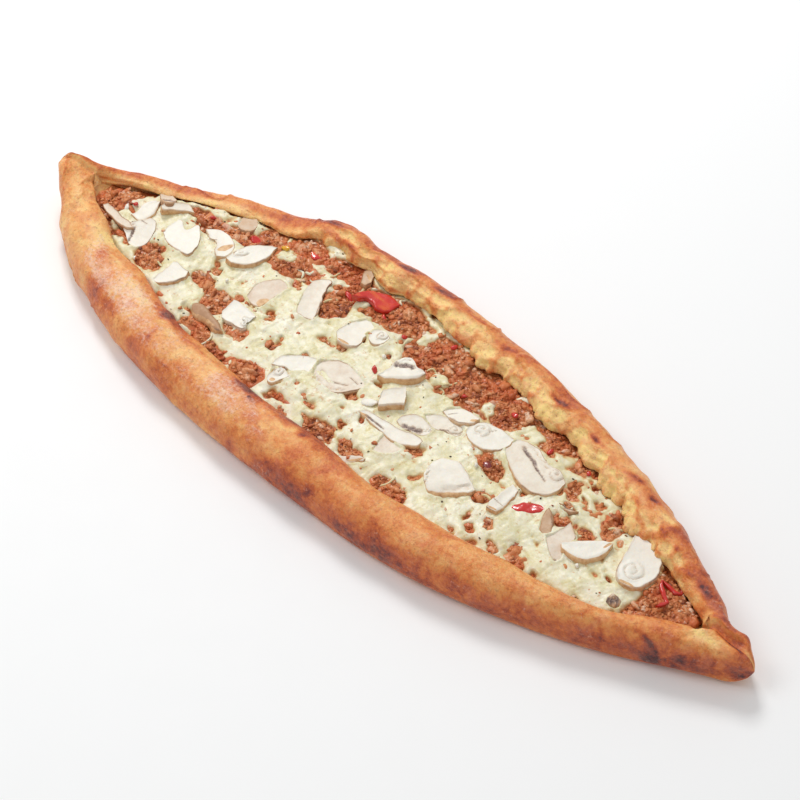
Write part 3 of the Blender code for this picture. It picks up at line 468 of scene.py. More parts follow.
def loft(name, rings, material, attributes, poles=None):
    """A closed surface through rings (stations, points, 3); each end closes in its pole."""
    stations, count = rings.shape[:2]
    if poles is None:
        poles = (rings[0].mean(axis=0), rings[-1].mean(axis=0))
    points = np.vstack([rings.reshape(-1, 3), poles])
    faces = loft_faces(stations, count).tolist()
    for row, pole in ((0, stations * count), (stations - 1, stations * count + 1)):
        start = row * count
        faces += [(start + j, start + (j + 1) % count, pole) for j in range(count)]
    values = {}
    for key, field in attributes.items():
        values[key] = np.concatenate([field.ravel(), [field[0].mean(), field[-1].mean()]])
    mesh = bpy.data.meshes.new(name)
    mesh.from_pydata((points * MM).tolist(), [], faces)
    for key, field in values.items():
        mesh.attributes.new(key, "FLOAT", "POINT").data.foreach_set("value", field.astype(np.float32))
    bm = bmesh.new()
    bm.from_mesh(mesh)
    bmesh.ops.remove_doubles(bm, verts=bm.verts, dist=0.004 * MM)
    bmesh.ops.recalc_face_normals(bm, faces=bm.faces)
    bm.to_mesh(mesh)
    bm.free()
    mesh.shade_smooth()
    mesh.materials.append(material)
    made = bpy.data.objects.new(name, mesh)
    bpy.context.scene.collection.objects.link(made)
    return made


def spline_rings(control, counts):
    """Closed curves through control points (stations, points, 2), with centripetal tangents."""
    ahead = np.roll(control, -1, axis=1) - control
    gap = np.maximum(np.linalg.norm(ahead, axis=2) ** 0.5, 1e-3)[..., None]
    gap_back = np.roll(gap, 1, axis=1)
    tangent = (ahead / gap * gap_back + np.roll(ahead, 1, axis=1) / gap_back * gap) / (gap + gap_back)
    pieces, place = [], []
    for k, count in enumerate(counts):
        following = (k + 1) % control.shape[1]
        for step in range(count):
            t = step / count
            pieces.append((2 * t ** 3 - 3 * t ** 2 + 1) * control[:, k]
                          + (t ** 3 - 2 * t ** 2 + t) * tangent[:, k] * gap[:, k]
                          + (3 * t ** 2 - 2 * t ** 3) * control[:, following]
                          + (t ** 3 - t ** 2) * tangent[:, following] * gap[:, k])
            place.append(k + t)
    return np.stack(pieces, axis=1), np.array(place)


def ring_normals(rings):
    """Unit normals of a lofted surface, pointing out of rings that run clockwise seen from +X."""
    across = np.roll(rings, -1, axis=1) - np.roll(rings, 1, axis=1)
    lengthwise = np.gradient(rings, axis=0)
    normal = np.cross(lengthwise, across)
    return normal / np.maximum(np.linalg.norm(normal, axis=2, keepdims=True), 1e-9)


# ---------------------------------------------------------------- materials

class Finish:
    """A procedural material being put together; each call adds one node and returns its output."""

    def __init__(self, name, **constants):
        self.material = bpy.data.materials.new(name)
        self.material.use_nodes = True
        self.tree = self.material.node_tree
        self.shader = self.tree.nodes["Principled BSDF"]
        self.place = self.add("ShaderNodeTexCoord", out="Object")
        for key, value in constants.items():
            self.shader.inputs[key.replace("_", " ")].default_value = value

    def add(self, kind, settings=None, inputs=None, out=0):
        node = self.tree.nodes.new(kind)
        for key, value in (settings or {}).items():
            setattr(node, key, value)
        for key, value in (inputs or {}).items():
            if isinstance(value, bpy.types.NodeSocket):
                self.tree.links.new(value, node.inputs[key])
            else:
                node.inputs[key].default_value = value
        return node.outputs[out]

    def noise(self, size_mm, detail=2.0, roughness=0.5, warp=0.0):
        """Noise whose features are about size_mm across."""
        return self.add("ShaderNodeTexNoise", None,
                        {"Vector": self.place, "Scale": 1000.0 / size_mm, "Detail": detail,
                         "Roughness": roughness, "Distortion": warp}, "Fac")

    def value(self, name):
        """A number carried by the mesh."""
        return self.add("ShaderNodeAttribute", {"attribute_name": name}, None, "Fac")

    def math(self, operation, *values):
        return self.add("ShaderNodeMath", {"operation": operation}, dict(enumerate(values)))

    def centred(self, source, amount):
        """The source's distance from one half, times an amount."""
        return self.math("MULTIPLY", self.math("SUBTRACT", source, 0.5), amount)

    def total(self, *values):
        result = values[0]
        for value in values[1:]:
            result = self.math("ADD", result, value)
        return result

    def spread(self, source, low, high, to_low=0.0, to_high=1.0):
        """Maps low..high of the source to to_low..to_high, held at both ends."""
        return self.add("ShaderNodeMapRange", {"clamp": True},
                        {"Value": source, "From Min": low, "From Max": high, "To Min": to_low,
                         "To Max": to_high})

    def ramp(self, source, stops):
        """Colours along 0..1: (place, colour) rows."""
        node = self.tree.nodes.new("ShaderNodeValToRGB")
        elements = node.color_ramp.elements
        while len(elements) < len(stops):
            elements.new(1.0)
        for element, (place, colour) in zip(elements, stops):
            element.position = place
            element.color = colour
        self.tree.links.new(source, node.inputs["Fac"])
        return node.outputs["Color"]

    def mix(self, share, first, second):
        return self.add("ShaderNodeMix", {"data_type": "RGBA"}, {0: share, 6: first, 7: second}, 2)

    def bump(self, height, depth_mm, strength=1.0, under=None):
        inputs = {"Height": height, "Distance": depth_mm * MM, "Strength": strength}
        if under is not None:
            inputs["Normal"] = under
        return self.add("ShaderNodeBump", None, inputs)

    def finish(self, colour, roughness, normal):
        for key, value in (("Base Color", colour), ("Roughness", roughness), ("Normal", normal)):
            self.tree.links.new(value, self.shader.inputs[key])
        return self.material


def crust_material(settings):
    """Baked dough: pale yellow to purple-brown by how baked it is, sandy skin, a faint gloss, and a pale pink highlight
    painted on the near rim.
    """
    made = Finish("baked_dough", Coat_Weight=0.12, Coat_Roughness=0.38, Specular_IOR_Level=0.32,
                  Subsurface_Weight=0.18, Subsurface_Scale=0.003)
    made.shader.inputs["Subsurface Radius"].default_value = (1.0, 0.38, 0.14)
    baked = made.total(made.value("baked"), made.centred(made.noise(26, 3, 0.6, 0.4), 0.36),
                       made.centred(made.noise(8, 4, 0.7, 0.6), 0.56), made.centred(made.noise(2.4, 3, 0.75), 0.55))
    colour = made.ramp(baked, (
        (0.00, linear(255, 218, 140)), (0.18, linear(252, 204, 134)), (0.36, linear(243, 176, 106)),
        (0.52, linear(231, 144, 76)), (0.66, linear(212, 112, 56)), (0.80, linear(178, 80, 44)),
        (0.92, linear(128, 56, 46)), (1.00, linear(84, 44, 46))))
    blush = made.spread(made.noise(10, 4, 0.65, 1.0), 0.48, 0.64, 0.0, 0.28)
    colour = made.mix(blush, colour, linear(216, 132, 104))
    # Painted highlight: a pale pink sheen mixed into the colour on the upper left of the near rim.
    painted_sheen = made.spread(made.total(made.value("painted_sheen"), made.centred(made.noise(1.5, 3, 0.8), 1.5),
                                   made.centred(made.noise(8, 3, 0.6), 0.8)), 0.20, 0.85)
    colour = made.mix(painted_sheen, colour, linear(250, 218, 198))
    speck = made.spread(made.noise(1.7, 3, 0.75), 0.54, 0.72, 0.0, 0.6)
    colour = made.mix(speck, colour, linear(172, 96, 60))
    roughness = made.spread(made.noise(1.8, 3, 0.7), 0.3, 0.7, 0.28, 0.58)
    skin = made.bump(made.noise(0.7, 2, 0.7), 0.26, 0.85)
    skin = made.bump(made.noise(1.5, 3, 0.7), 0.75, 0.85, skin)
    skin = made.bump(made.noise(3.6, 4, 0.65), 0.90, 0.65, skin)
    return made.finish(colour, roughness, skin)


def mince_material(settings):
    """Cooked mince: red-brown with orange oil, moist."""
    made = Finish("minced_meat", Coat_Weight=0.35, Coat_Roughness=0.22, Specular_IOR_Level=0.5)
    tone = made.total(made.value("tone"), made.centred(made.noise(4.0, 3, 0.6), 0.50),
                      made.centred(made.noise(1.2, 2), 0.35))
    colour = made.ramp(tone, (
        (0.00, linear(104, 46, 22)), (0.25, linear(168, 84, 42)), (0.50, linear(214, 122, 64)),
        (0.72, linear(230, 148, 90)), (0.88, linear(238, 176, 130)), (1.00, linear(246, 208, 178))))
    oil = made.spread(made.noise(10, 3, 0.6), 0.50, 0.62, 0.0, 0.55)
    colour = made.mix(oil, colour, linear(222, 100, 42))
    roughness = made.spread(made.noise(2.5, 2), 0.3, 0.7, 0.30, 0.62)
    return made.finish(colour, roughness, made.bump(made.noise(1.4, 5, 0.75), 0.95, 0.9))


def cheese_material(settings):
    """Melted cheese: pale greenish cream, yellow and see-through where it lies thinly, darker yellow in its low parts
    as painted shade, browned flecks.
    """
    made = Finish("melted_cheese", Coat_Weight=0.14, Coat_Roughness=0.34, Specular_IOR_Level=0.42,
                  Subsurface_Weight=0.12, Subsurface_Scale=0.002)
    made.shader.inputs["Subsurface Radius"].default_value = (1.0, 0.7, 0.35)
    base = made.ramp(made.total(made.noise(11, 4, 0.65, 0.6), made.centred(made.noise(2.6, 4, 0.65, 1.0), 0.55)), (
        (0.22, linear(208, 192, 128)), (0.38, linear(225, 216, 172)), (0.54, linear(235, 229, 199)),
        (0.74, linear(243, 239, 219))))
    thin_and_shade = made.spread(made.total(made.value("thin_and_shade"), made.centred(made.noise(3, 3, 0.6), 0.5)), 0.12, 0.95)
    veil = made.ramp(thin_and_shade, ((0.0, linear(232, 226, 190)), (0.40, linear(220, 200, 148)),
                            (0.75, linear(206, 154, 100)), (1.0, linear(186, 112, 68))))
    colour = made.mix(made.spread(thin_and_shade, 0.0, 0.5), base, veil)
    fleck = made.spread(made.total(made.noise(2.0, 2, 0.6), made.centred(made.noise(12, 2), 0.35)), 0.60, 0.74, 0.0, 0.65)
    colour = made.mix(fleck, colour, linear(208, 156, 104))
    roughness = made.spread(made.noise(4, 2), 0.3, 0.7, 0.34, 0.55)
    relief = made.bump(made.noise(1.4, 3, 0.6, 0.8), 0.24, 0.6)
    return made.finish(colour, roughness, made.bump(made.noise(5, 3, 0.6, 0.8), 0.6, 0.5, relief))


def mushroom_material(settings):
    """Sliced mushroom: warm white flesh, tan skin, purple-brown gills."""
    made = Finish("sliced_mushroom", Coat_Weight=0.08, Coat_Roughness=0.35, Specular_IOR_Level=0.4,
                  Subsurface_Weight=0.10, Subsurface_Scale=0.002)
    made.shader.inputs["Subsurface Radius"].default_value = (1.0, 0.75, 0.5)
    # The cooked value from the mesh also carries painted shade on the slices' walls.
    cooked = made.total(made.value("cooked"), made.centred(made.noise(5, 4, 0.65), 0.62),
                        made.centred(made.noise(1.1, 2), 0.12))
    colour = made.ramp(cooked, (
        (0.00, linear(243, 238, 226)), (0.28, linear(236, 226, 209)), (0.55, linear(221, 200, 178)),
        (0.80, linear(203, 168, 134)), (1.00, linear(178, 134, 98))))
    skin = made.spread(made.total(made.value("skin"), made.centred(made.noise(2.2, 2), 0.35)), 0.35, 0.75)
    tan = made.ramp(made.noise(2.6, 3, 0.6), ((0.30, linear(232, 196, 150)), (0.50, linear(219, 176, 128)),
                                              (0.72, linear(184, 132, 88))))
    colour = made.mix(skin, colour, tan)
    gill = made.spread(made.total(made.value("gill"), made.centred(made.noise(1.0, 2), 0.5)), 0.30, 0.85)
    dark = made.ramp(made.noise(0.9, 2), ((0.3, linear(84, 66, 62)), (0.7, linear(168, 142, 128))))
    colour = made.mix(gill, colour, dark)
    roughness = made.spread(made.noise(3, 2), 0.3, 0.7, 0.45, 0.62)
    return made.finish(colour, roughness, made.bump(made.noise(1.4, 4, 0.65), 0.30, 0.6))


def pepper_material(settings):
    """Glossy cooked pepper: red, orange-brown where it is seared, yellow by its tone."""
    made = Finish("red_pepper", Coat_Weight=0.7, Coat_Roughness=0.12, Specular_IOR_Level=0.5)
    tone = made.total(made.value("tone"), made.centred(made.noise(4, 2), 0.25))
    colour = made.ramp(tone, ((0.0, linear(238, 190, 40)), (0.22, linear(236, 120, 40)),
                              (0.45, linear(214, 44, 30)), (0.75, linear(196, 34, 28)),
                              (1.0, linear(120, 26, 22))))
    roughness = made.spread(made.noise(3, 2), 0.3, 0.7, 0.16, 0.34)
    return made.finish(colour, roughness, made.bump(made.noise(2.2, 2), 0.3, 0.4))


def speck_material(settings):
    """Dark ground pepper and dried herb."""
    made = Finish("herb_specks", Specular_IOR_Level=0.3)
    colour = made.ramp(made.value("tone"), ((0.0, linear(38, 26, 20)), (0.5, linear(84, 52, 30)),
                                            (0.8, linear(104, 96, 48)), (1.0, linear(140, 86, 40))))
    roughness = made.spread(made.noise(1, 2), 0.3, 0.7, 0.6, 0.8)
    return made.finish(colour, roughness, made.bump(made.noise(0.4, 2), 0.08, 0.5))


def floor_material(settings):
    """A plain pale matt table top."""
    made = Finish("pale_table", Specular_IOR_Level=0.2)
    tint = tuple(settings.floor_colour)
    colour = made.mix(made.spread(made.noise(60, 2), 0.3, 0.7, 0.0, 0.03), (*tint, 1.0), (*(c * 0.97 for c in tint), 1.0))
    roughness = made.spread(made.noise(20, 2), 0.3, 0.7, 0.55, 0.62)
    return made.finish(colour, roughness, made.bump(made.noise(2, 2), 0.02, 0.2))


# ---------------------------------------------------------------- dough

CRUST_COUNTS = ((6,) * 6 + (5, 4, 3, 2, 2, 2)          # near roll, from its lip down to its underside
                + (2, 2, 2, 3, 5, 6, 8, 9, 10, 10, 10, 10)  # middle, then up the far rim to its lip
                + (4, 3, 2, 2, 2, 2, 3, 3, 2, 2, 2, 2, 3, 4))  # far lip's edge, hollow, near lip's edge


def rim_outside(edge, lip, height, lip_top, ragged=0.0):
    """Points of a rim from its lip over the roll and down to its flat underside."""
    width = lip + ragged - edge
    rows = [(lip, lip_top)]
    rows += [(edge + width * across, lip_top + (height - lip_top) * up) for across, up in ROLL]
    rows += [(edge + width * across, height * up) for across, up in ROLL_OUTSIDE]
    return rows


def hollow_side(x, edge, lip, underside):
    """Points of the hollow from under a lip, into the pocket and down to the base."""
    depth = openness(x)
    floor = underside - (underside - BASE_THICKNESS) * depth
    pocket = (lip - edge) * POCKET_DEPTH * depth
    return [(lip, underside)] + [(lip - pocket * inwards, underside - (underside - floor) * down)
                                 for inwards, down in HOLLOW]


def crust_sections(x):
    """Control points (stations, points, 2) of the dough's closed sections."""
    ragged = far_raggedness(x)
    near_edge, far_edge = outer_edges(x)
    near_lip, far_lip = lips(x, ragged)
    near_height, far_height = along(NEAR_HEIGHTS, x), along(FAR_HEIGHTS, x)
    wave = 0.5 * noise(x, 0, 0, 14, 5) + 0.3 * noise(x, 0, 0, 6, 6)
    near_under = filling_top(x, near_lip) + LIP_CLEARANCE
    far_under = filling_top(x, far_lip) + LIP_CLEARANCE + wave * openness(x)
    near_top, far_top = near_under + LIP_THICKNESS, far_under + LIP_THICKNESS - 0.6 * openness(x)
    closed = ~opened(x)
    fade = np.clip(np.minimum(abs(x - OPENING_LEFT) / SEAM_FADE, abs(x - OPENING_RIGHT) / TWIST_FADE), 0, 1)
    seam_top = near_top + ((near_height + far_height) / 2 * LIP_MOST - near_top) * fade
    near_top = np.minimum(np.where(closed, seam_top, near_top), near_height * LIP_MOST)
    far_top = np.minimum(np.where(closed, seam_top, far_top), far_height * LIP_MOST)
    near = rim_outside(near_edge, near_lip, near_height, near_top)
    far = rim_outside(far_edge, far_lip, far_height, far_top, ragged * opened(x) * 0.8)
    middle = [((near_edge + far_edge) / 2, 0 * x)]
    near_hollow = hollow_side(x, near_edge, near_lip, near_under)
    far_hollow = hollow_side(x, far_edge, far_lip, far_under)
    centre = [((near_hollow[-1][0] + far_hollow[-1][0]) / 2, (near_hollow[-1][1] + far_hollow[-1][1]) / 2)]
    swell = 0.8 * openness(x)
    far_nose = [(far_lip - swell, (far_top + far_under) / 2)]
    near_nose = [(near_lip + swell, (near_top + near_under) / 2)]
    inside = far_nose + far_hollow + centre + near_hollow[::-1] + near_nose
    inside = [(np.where(closed, near_lip, y), np.where(closed, near_top, z)) for y, z in inside]
    rows = near + middle + far[::-1] + inside
    return np.stack([np.stack([y + 0 * x, z + 0 * x], -1) for y, z in rows], axis=1)


def far_raggedness(x):
    """How far the torn far lip hangs over the filling beyond its lobes."""
    fade = smooth(-110, -90, x) * smooth(175, 150, x) * 0.85 + 0.15
    lobes = 2.6 * np.abs(noise(x, 0, 0, 6.5, 21)) - 1.0 + 1.6 * np.abs(noise(x, 0, 0, 3.1, 22)) - 0.5
    return np.maximum(-1.2, fade * (lobes + 1.0 * noise(x, 0, 0, 15, 23))) * openness(x)


def crust_stations():
    """Places along the boat, closer together where the noses round off."""
    turn = np.radians(np.linspace(0, 88, 19)[1:])
    ends = HALF_LENGTH - NOSE_LENGTH + NOSE_LENGTH * np.sin(turn)
    between = np.linspace(-HALF_LENGTH + NOSE_LENGTH, HALF_LENGTH - NOSE_LENGTH, 505)
    return np.concatenate([-ends[::-1], between, ends])


def make_crust(settings):
    """Sections carried along the boat; along their normals stand slow swells and wrinkles (noise of
    40, 15 and 6 mm), a crease on the far rim, a torn lip, blisters, and a twisted ridge at the right tip."""
    x = crust_stations()
    sections, place = spline_rings(crust_sections(x), CRUST_COUNTS)
    middle = (along(NEAR_HEIGHTS, x) + along(FAR_HEIGHTS, x)) / 4
    z = middle[:, None] + (sections[..., 1] - middle[:, None]) * nose(x)[:, None] + along(TIP_LIFT, x)[:, None]
    xs = np.broadcast_to(x[:, None], z.shape)
    rings = np.stack([xs, sections[..., 0], z], -1)
    ys = rings[..., 1]
    near_edge, far_edge = (edge[:, None] for edge in outer_edges(x))
    near_lip, far_lip = (lip[:, None] for lip in lips(x, far_raggedness(x)))
    near_side = (place[None, :] < 12) | (place[None, :] >= 36)
    across = np.where(near_side, (ys - near_edge) / np.maximum(near_lip - near_edge, 1),
                      (far_edge - ys) / np.maximum(far_edge - far_lip, 1))
    upper = smooth(1.5, 5.0, z) * np.where((place > 25.2) & (place < 35.8), 0.0, 1.0)[None, :]
    far_top = (~near_side) * upper
    near_top = near_side * upper
    # swells, wrinkles and creases over the whole skin
    left = smooth(10, -60, xs)
    height = (0.9 + 0.6 * left) * noise(xs, ys, z, 42, 1) + (0.6 + 0.5 * left) * noise(xs, ys, z, 19, 2) \
        + (0.34 + 0.2 * left) * rough(xs, ys, z, 8, 3)
    height += near_top * 0.35 * rough(xs * 0.5, ys, z, 9, 4)
    folds = smooth(0.13, 0.0, np.abs(noise(xs * 0.6, ys, z, 13, 5))) * smooth(-0.1, 0.5, noise(xs, ys, z, 30, 6))
    folds += 0.6 * smooth(0.12, 0.0, np.abs(noise(xs, ys, z, 6, 7))) * smooth(0.0, 0.6, noise(xs, ys, z, 24, 8))
    folds = folds * np.where(near_side, 0.25 + 0.75 * left, 1.0)
    height -= 0.75 * folds
    # crease between the far rim's roll and its torn inner bead
    line = 0.54 + 0.13 * smooth(40, 95, xs) + 0.06 * noise(xs, 0, 0, 23, 31) + 0.03 * noise(xs, 0, 0, 7, 32)
    along_far = smooth(-100, -80, xs) * smooth(178, 160, xs)
    crease = np.exp(-((across - line) / 0.055) ** 2) * (0.65 + 0.35 * noise(xs, 0, 0, 12, 33))
    second = np.exp(-((across - line - 0.17) / 0.05) ** 2) * smooth(85, 100, xs) * smooth(-0.3, 0.6, noise(xs, 0, 0, 17, 39))
    height -= far_top * along_far * (1.1 * crease + 0.4 * second)
    bead = smooth(0.55, 0.75, across) * along_far * far_top
    drift = 2 * noise(xs, ys, z, 9, 36)
    lumps, _ = cells(xs + drift, ys + 0.8 * z, 8.5, 34)
    fine, _ = cells(xs - drift, ys + 0.8 * z, 3.8, 38)
    height += bead * (1.6 * (0.45 - lumps) + 0.7 * (0.5 - fine) + 0.4 * rough(xs, ys, z, 5, 35))
    for blister_x, blister_y, radius, rise in BLISTERS:
        away = np.hypot(xs - blister_x, ys - blister_y) / radius
        height += upper * rise * np.clip(1 - away ** 2, 0, 1) ** 2
    # the near roll's end lies twisted over the far one at the right tip
    twist = smooth(183, 188, xs) * smooth(212, 203, xs) * upper
    beside = ys - along(TWIST_LINE, xs) - 0.5 * noise(xs, 0, 0, 5, 9)
    height += twist * (1.8 * np.exp(-((beside + 2.2) / 2.4) ** 2) - 1.7 * smooth(-0.3, 1.0, beside)
                       * smooth(7.0, 2.0, beside) - 0.6 * np.exp(-((beside + 6.8) / 1.8) ** 2)
                       + 0.6 * np.exp(-((beside + 10.5) / 2.6) ** 2))
    height += 0.8 * np.exp(-((xs + 201) / 5) ** 2) * near_top - 0.8 * np.exp(-((xs + 190) / 4) ** 2) * near_top
    shift = (height * upper)[..., None] * ring_normals(rings) * nose(x)[:, None, None] ** 0.5
    rings = rings + shift
    notch = 3.4 * np.exp(-((xs - 197) / 6.5) ** 2) * smooth(1.0, 0.15, across) * smooth(2, 7, z)
    rings[..., 1] -= np.where(near_side, 0.0, notch)
    # beyond the opening all the points of the seam stay together
    seam = (rings[:, 0] + rings[:, np.argmax(place >= 24)]) / 2
    shut = ~opened(x)
    rings[np.ix_(shut, place >= 24)] = seam[shut][:, None]
    rings[shut, 0] = seam[shut]
    rings[..., 0] = np.clip(rings[..., 0], -HALF_LENGTH, HALF_LENGTH)
    rings[..., 2] = np.maximum(rings[..., 2], 0.0)
    # how baked each point is, from 0 pale to 1 burnt, with some painted highlights and shade added into it, each marked
    # where it is
    near_base = 0.43 + 0.15 * smooth(-80, 0, xs) - 0.12 * smooth(20, 90, xs) - 0.08 * smooth(-120, -175, xs) \
        + 0.08 * smooth(150, 190, xs) + 0.08 * smooth(200, 212, xs)
    near_base += (0.14 + 0.12 * smooth(0, 60, xs)) * smooth(0.22, -0.02, across) + (0.26 + 0.26 * noise(xs, 0, 0, 14, 49)) * smooth(0.68, 0.84, across + 0.08 * noise(xs, ys, 0, 5, 50)) \
        * smooth(-160, -140, xs) * smooth(30, -20, xs) - 0.04 * np.exp(-((across - 0.62) / 0.15) ** 2)
    # Paler towards the far lip; at both ends, away from the crease, the inner lip is pale dough brightened further as a
    # painted highlight along its edge.
    far_base = 0.53 - 0.48 * smooth(line - 0.14, line + 0.10, across) * along_far \
        - 0.40 * (1 - along_far) * smooth(0.62, 0.92, across) + 0.10 * smooth(110, 160, xs) \
        + 0.12 * smooth(-80, -110, xs)
    # Painted shade: the bead is darker orange in the crevices between its lumps and paler on the lumps' tops.
    far_base += bead * (0.38 * smooth(0.35, 0.62, lumps) + 0.12 * smooth(0.4, 0.6, fine) - 0.02)
    far_base += 0.22 * crease * far_top * along_far * smooth(-1, 1, noise(xs, 0, 0, 15, 37) + 0.6)
    baked = np.where(near_side, near_base, far_base)
    even = np.where(near_side, 1 - 0.55 * smooth(10, 60, xs), 1.0)
    baked = baked + even * (0.10 * noise(xs, ys, z, 30, 41) + 0.13 * noise(xs, ys, z, 12, 42) + 0.10 * noise(xs, ys, z, 5.5, 40))
    blotchy = 0.72 + 0.5 * rough(xs, ys, z, 7, 48)
    baked += near_side * marks(xs, ys, NEAR_MARKS, 4.0, 43) * smooth(2, 6, z) * blotchy
    baked += (~near_side) * marks(xs, ys, FAR_MARKS, 1.5, 44) * smooth(2, 6, z)
    # Purple-brown band along the twisted ridge; the pale spot at (190, -10.3) beside it is a painted highlight on the
    # near roll.
    baked += twist * (0.60 * np.exp(-((beside + 2.8) / 2.2) ** 2) * (0.75 + 0.35 * noise(xs, ys, z, 6, 47))
                      - 0.22 * np.exp(-((beside - 0.3) / 0.7) ** 2)
                      - 0.36 * np.exp(-((xs - 190) / 5) ** 2 - ((ys + 10.3) / 2.6) ** 2)
                      + 0.20 * np.exp(-((beside - 2.2) / 1.5) ** 2))
    baked += 0.14 * folds
    pinhole = np.hypot(xs + 39, ys + 47.5)
    baked += near_top * 0.8 * np.exp(-(pinhole / 0.8) ** 2)
    underside = smooth(2.5, 0.5, rings[..., 2])
    baked = baked * (1 - underside) + underside * (0.60 + 0.22 * rough(xs, ys, z, 22, 45))
    inside = ((place > 25.2) & (place < 35.8))[None, :]
    baked = np.where(inside, 0.12, baked)
    baked[np.ix_(shut, place >= 24)] = baked[shut, :1]
    # Painted highlight: where the pale pink sheen lies, on the upper side of the near rim's left half.
    painted_sheen = near_top * smooth(-175, -150, xs) * smooth(0, -60, xs) * smooth(0.10, 0.3, across) \
        * smooth(0.95, 0.7, across) * (0.55 + 0.35 * noise(xs, ys, z, 24, 46))
    made = loft("crust_dough", rings, crust_material(settings),
                {"baked": np.clip(baked, 0, 1), "painted_sheen": np.clip(painted_sheen, 0, 1) * settings.painted_sheen},
                ((-HALF_LENGTH, rings[0, :, 1].mean(), rings[0, :, 2].mean()),
                 (HALF_LENGTH, rings[-1, :, 1].mean(), rings[-1, :, 2].mean())))
    return [(made, ["crust"], "crust")]


# ---------------------------------------------------------------- filling

def bare(x, y):
    """Millimetres inside (+) or outside (-) the places where the meat lies bare."""
    near_lip, far_lip = lips(x)
    wander = 2.2 * noise(x, y, 0, 9, 61)
    wander_y = 1.8 * noise(x, y, 0, 8, 62)
    inside = np.full(np.shape(x), -30.0)
    inside = np.maximum(inside, 1.5 * (CHEESE_ENDS[0] + 4 - x))
    inside = np.maximum(inside, 1.2 * (x - CHEESE_ENDS[1] + 6))
    for rows, sign in ((BARE_PATCHES, 1), (CHEESE_TONGUES, -1)):
        for patch_x, patch_y, half_x, half_y, turn in rows:
            c, s = math.cos(math.radians(turn)), math.sin(math.radians(turn))
            dx, dy = x + wander - patch_x, y + wander_y - patch_y
            q = np.sqrt(((dx * c + dy * s) / half_x) ** 2 + ((dy * c - dx * s) / half_y) ** 2)
            amount = (1 - q) * min(half_x, half_y)
            inside = np.maximum(inside, amount) if sign > 0 else np.minimum(inside, -amount)
    inside = np.maximum(inside, (y - far_lip + 2.0) * 0.8 - 20 * smooth(-110, -70, x))
    ragged = 1.5 * noise(x, y, 0, 5.5, 63) + 1.0 * noise(x, y, 0, 2.4, 64) - 0.5
    away, name = cells(x + wander + 0.35 * y, 1.25 * (y + wander_y), 9.5, 65)
    away = away + 0.16 * noise(x, y, 0, 3.2, 66) + 0.08 * noise(x, y, 0, 1.5, 67)
    island = np.where(name > 0.66, 0.8 + 4.0 * (name - 0.66) - 9.5 * away, -6)
    inside = np.maximum(np.clip(inside, -6, 4), island)
    return inside + ragged * np.clip((inside + 6) / 3, 0, 1)


def tip_lift(x):
    return along(TIP_LIFT, x)


def meat_lumps(x, y):
    """Lumps of the meat in mm about its mean level: low domes 5 and 2.7 mm across, with fine noise."""
    shift_x, shift_y = 1.6 * noise(x, y, 0, 5, 51), 1.6 * noise(x, y, 0, 5, 52)
    big, _ = cells(x + shift_x, 1.2 * (y + shift_y), 6.2, 53)
    small, _ = cells(x - shift_y, y + shift_x, 3.0, 54)
    return 2.0 * (0.5 - big) + 1.2 * (0.45 - small) + 0.5 * rough(x, y, 0, 2.0, 57, 2)


def meat_level(x, y):
    """Top of the meat: its lumps on the filling's own height, lower along the far lip."""
    near_lip, far_lip = lips(x)
    inside = np.minimum(y - near_lip, far_lip - y)
    show = smooth(-0.5, 3.0, inside)
    relief = meat_lumps(x, y) + 1.0 * noise(x, y, 0, 12, 55)
    sunk = 1.1 * smooth(5.0, 0.0, far_lip - y) + 1.2 * smooth(9.0, 2.0, far_lip - y) * smooth(-100, -135, x)
    sunk = sunk + 1.2 * smooth(-140, -168, x)
    sunk = sunk + 0.9 * smooth(-0.5, -2.5, bare(x, y))
    for row in MUSHROOMS:
        near = (np.abs(x - row[0]) < 24) & (np.abs(y - row[1]) < 24)
        sunk[near] += 1.4 * smooth(0.6, -1.0, outline_distance(row, x[near], y[near]))
    return filling_top(x, y) + tip_lift(x) + 0.3 + relief * show - 0.5 * (1 - show) - sunk


def meat_tone_and_shade(x, y):
    """How light the meat is, 0 to 1: lighter on its lumps and darker between them as painted shade, in drifts 12 and 4
    mm across.
    """
    return 0.46 + 0.20 * meat_lumps(x, y) + 0.20 * rough(x, y, 0, 12, 56) + 0.14 * noise(x, y, 0, 4, 58)


def filling_grid(count, rows, ends, tuck):
    """A grid over the filling, reaching a tuck under both lips: x and y arrays (stations, rows)."""
    x = np.linspace(ends[0], ends[1], count)
    near_lip, far_lip = lips(x)
    share = np.linspace(0, 1, rows)[None, :]
    reach_under = tuck * openness(x)[:, None]
    low = near_lip[:, None] - reach_under
    high = far_lip[:, None] + reach_under
    return np.broadcast_to(x[:, None], (count, rows)), low + (high - low) * share


def make_meat_core(settings):
    """The bed of meat: a lumpy top over a flat underside."""
    x, y = filling_grid(600, 104, (OPENING_LEFT + 5, OPENING_RIGHT - 5), 3.0)
    top = np.stack([x, y, meat_level(x, y)], -1)
    floor = BASE_THICKNESS + (FILLING_EDGE - BASE_THICKNESS) * 0.9 * (1 - openness(x[:, :1])) + 0.6
    floor = floor + tip_lift(x[:, :1])
    low = np.stack([x[:, :3], y[:, [-1, 52, 0]], np.repeat(floor, 3, axis=1)], -1)
    rings = np.concatenate([top, low], axis=1)
    tone = meat_tone_and_shade(rings[..., 0], rings[..., 1])
    made = loft("mince_bed", rings, mince_material(settings), {"tone": np.clip(tone, 0, 1)})
    return made


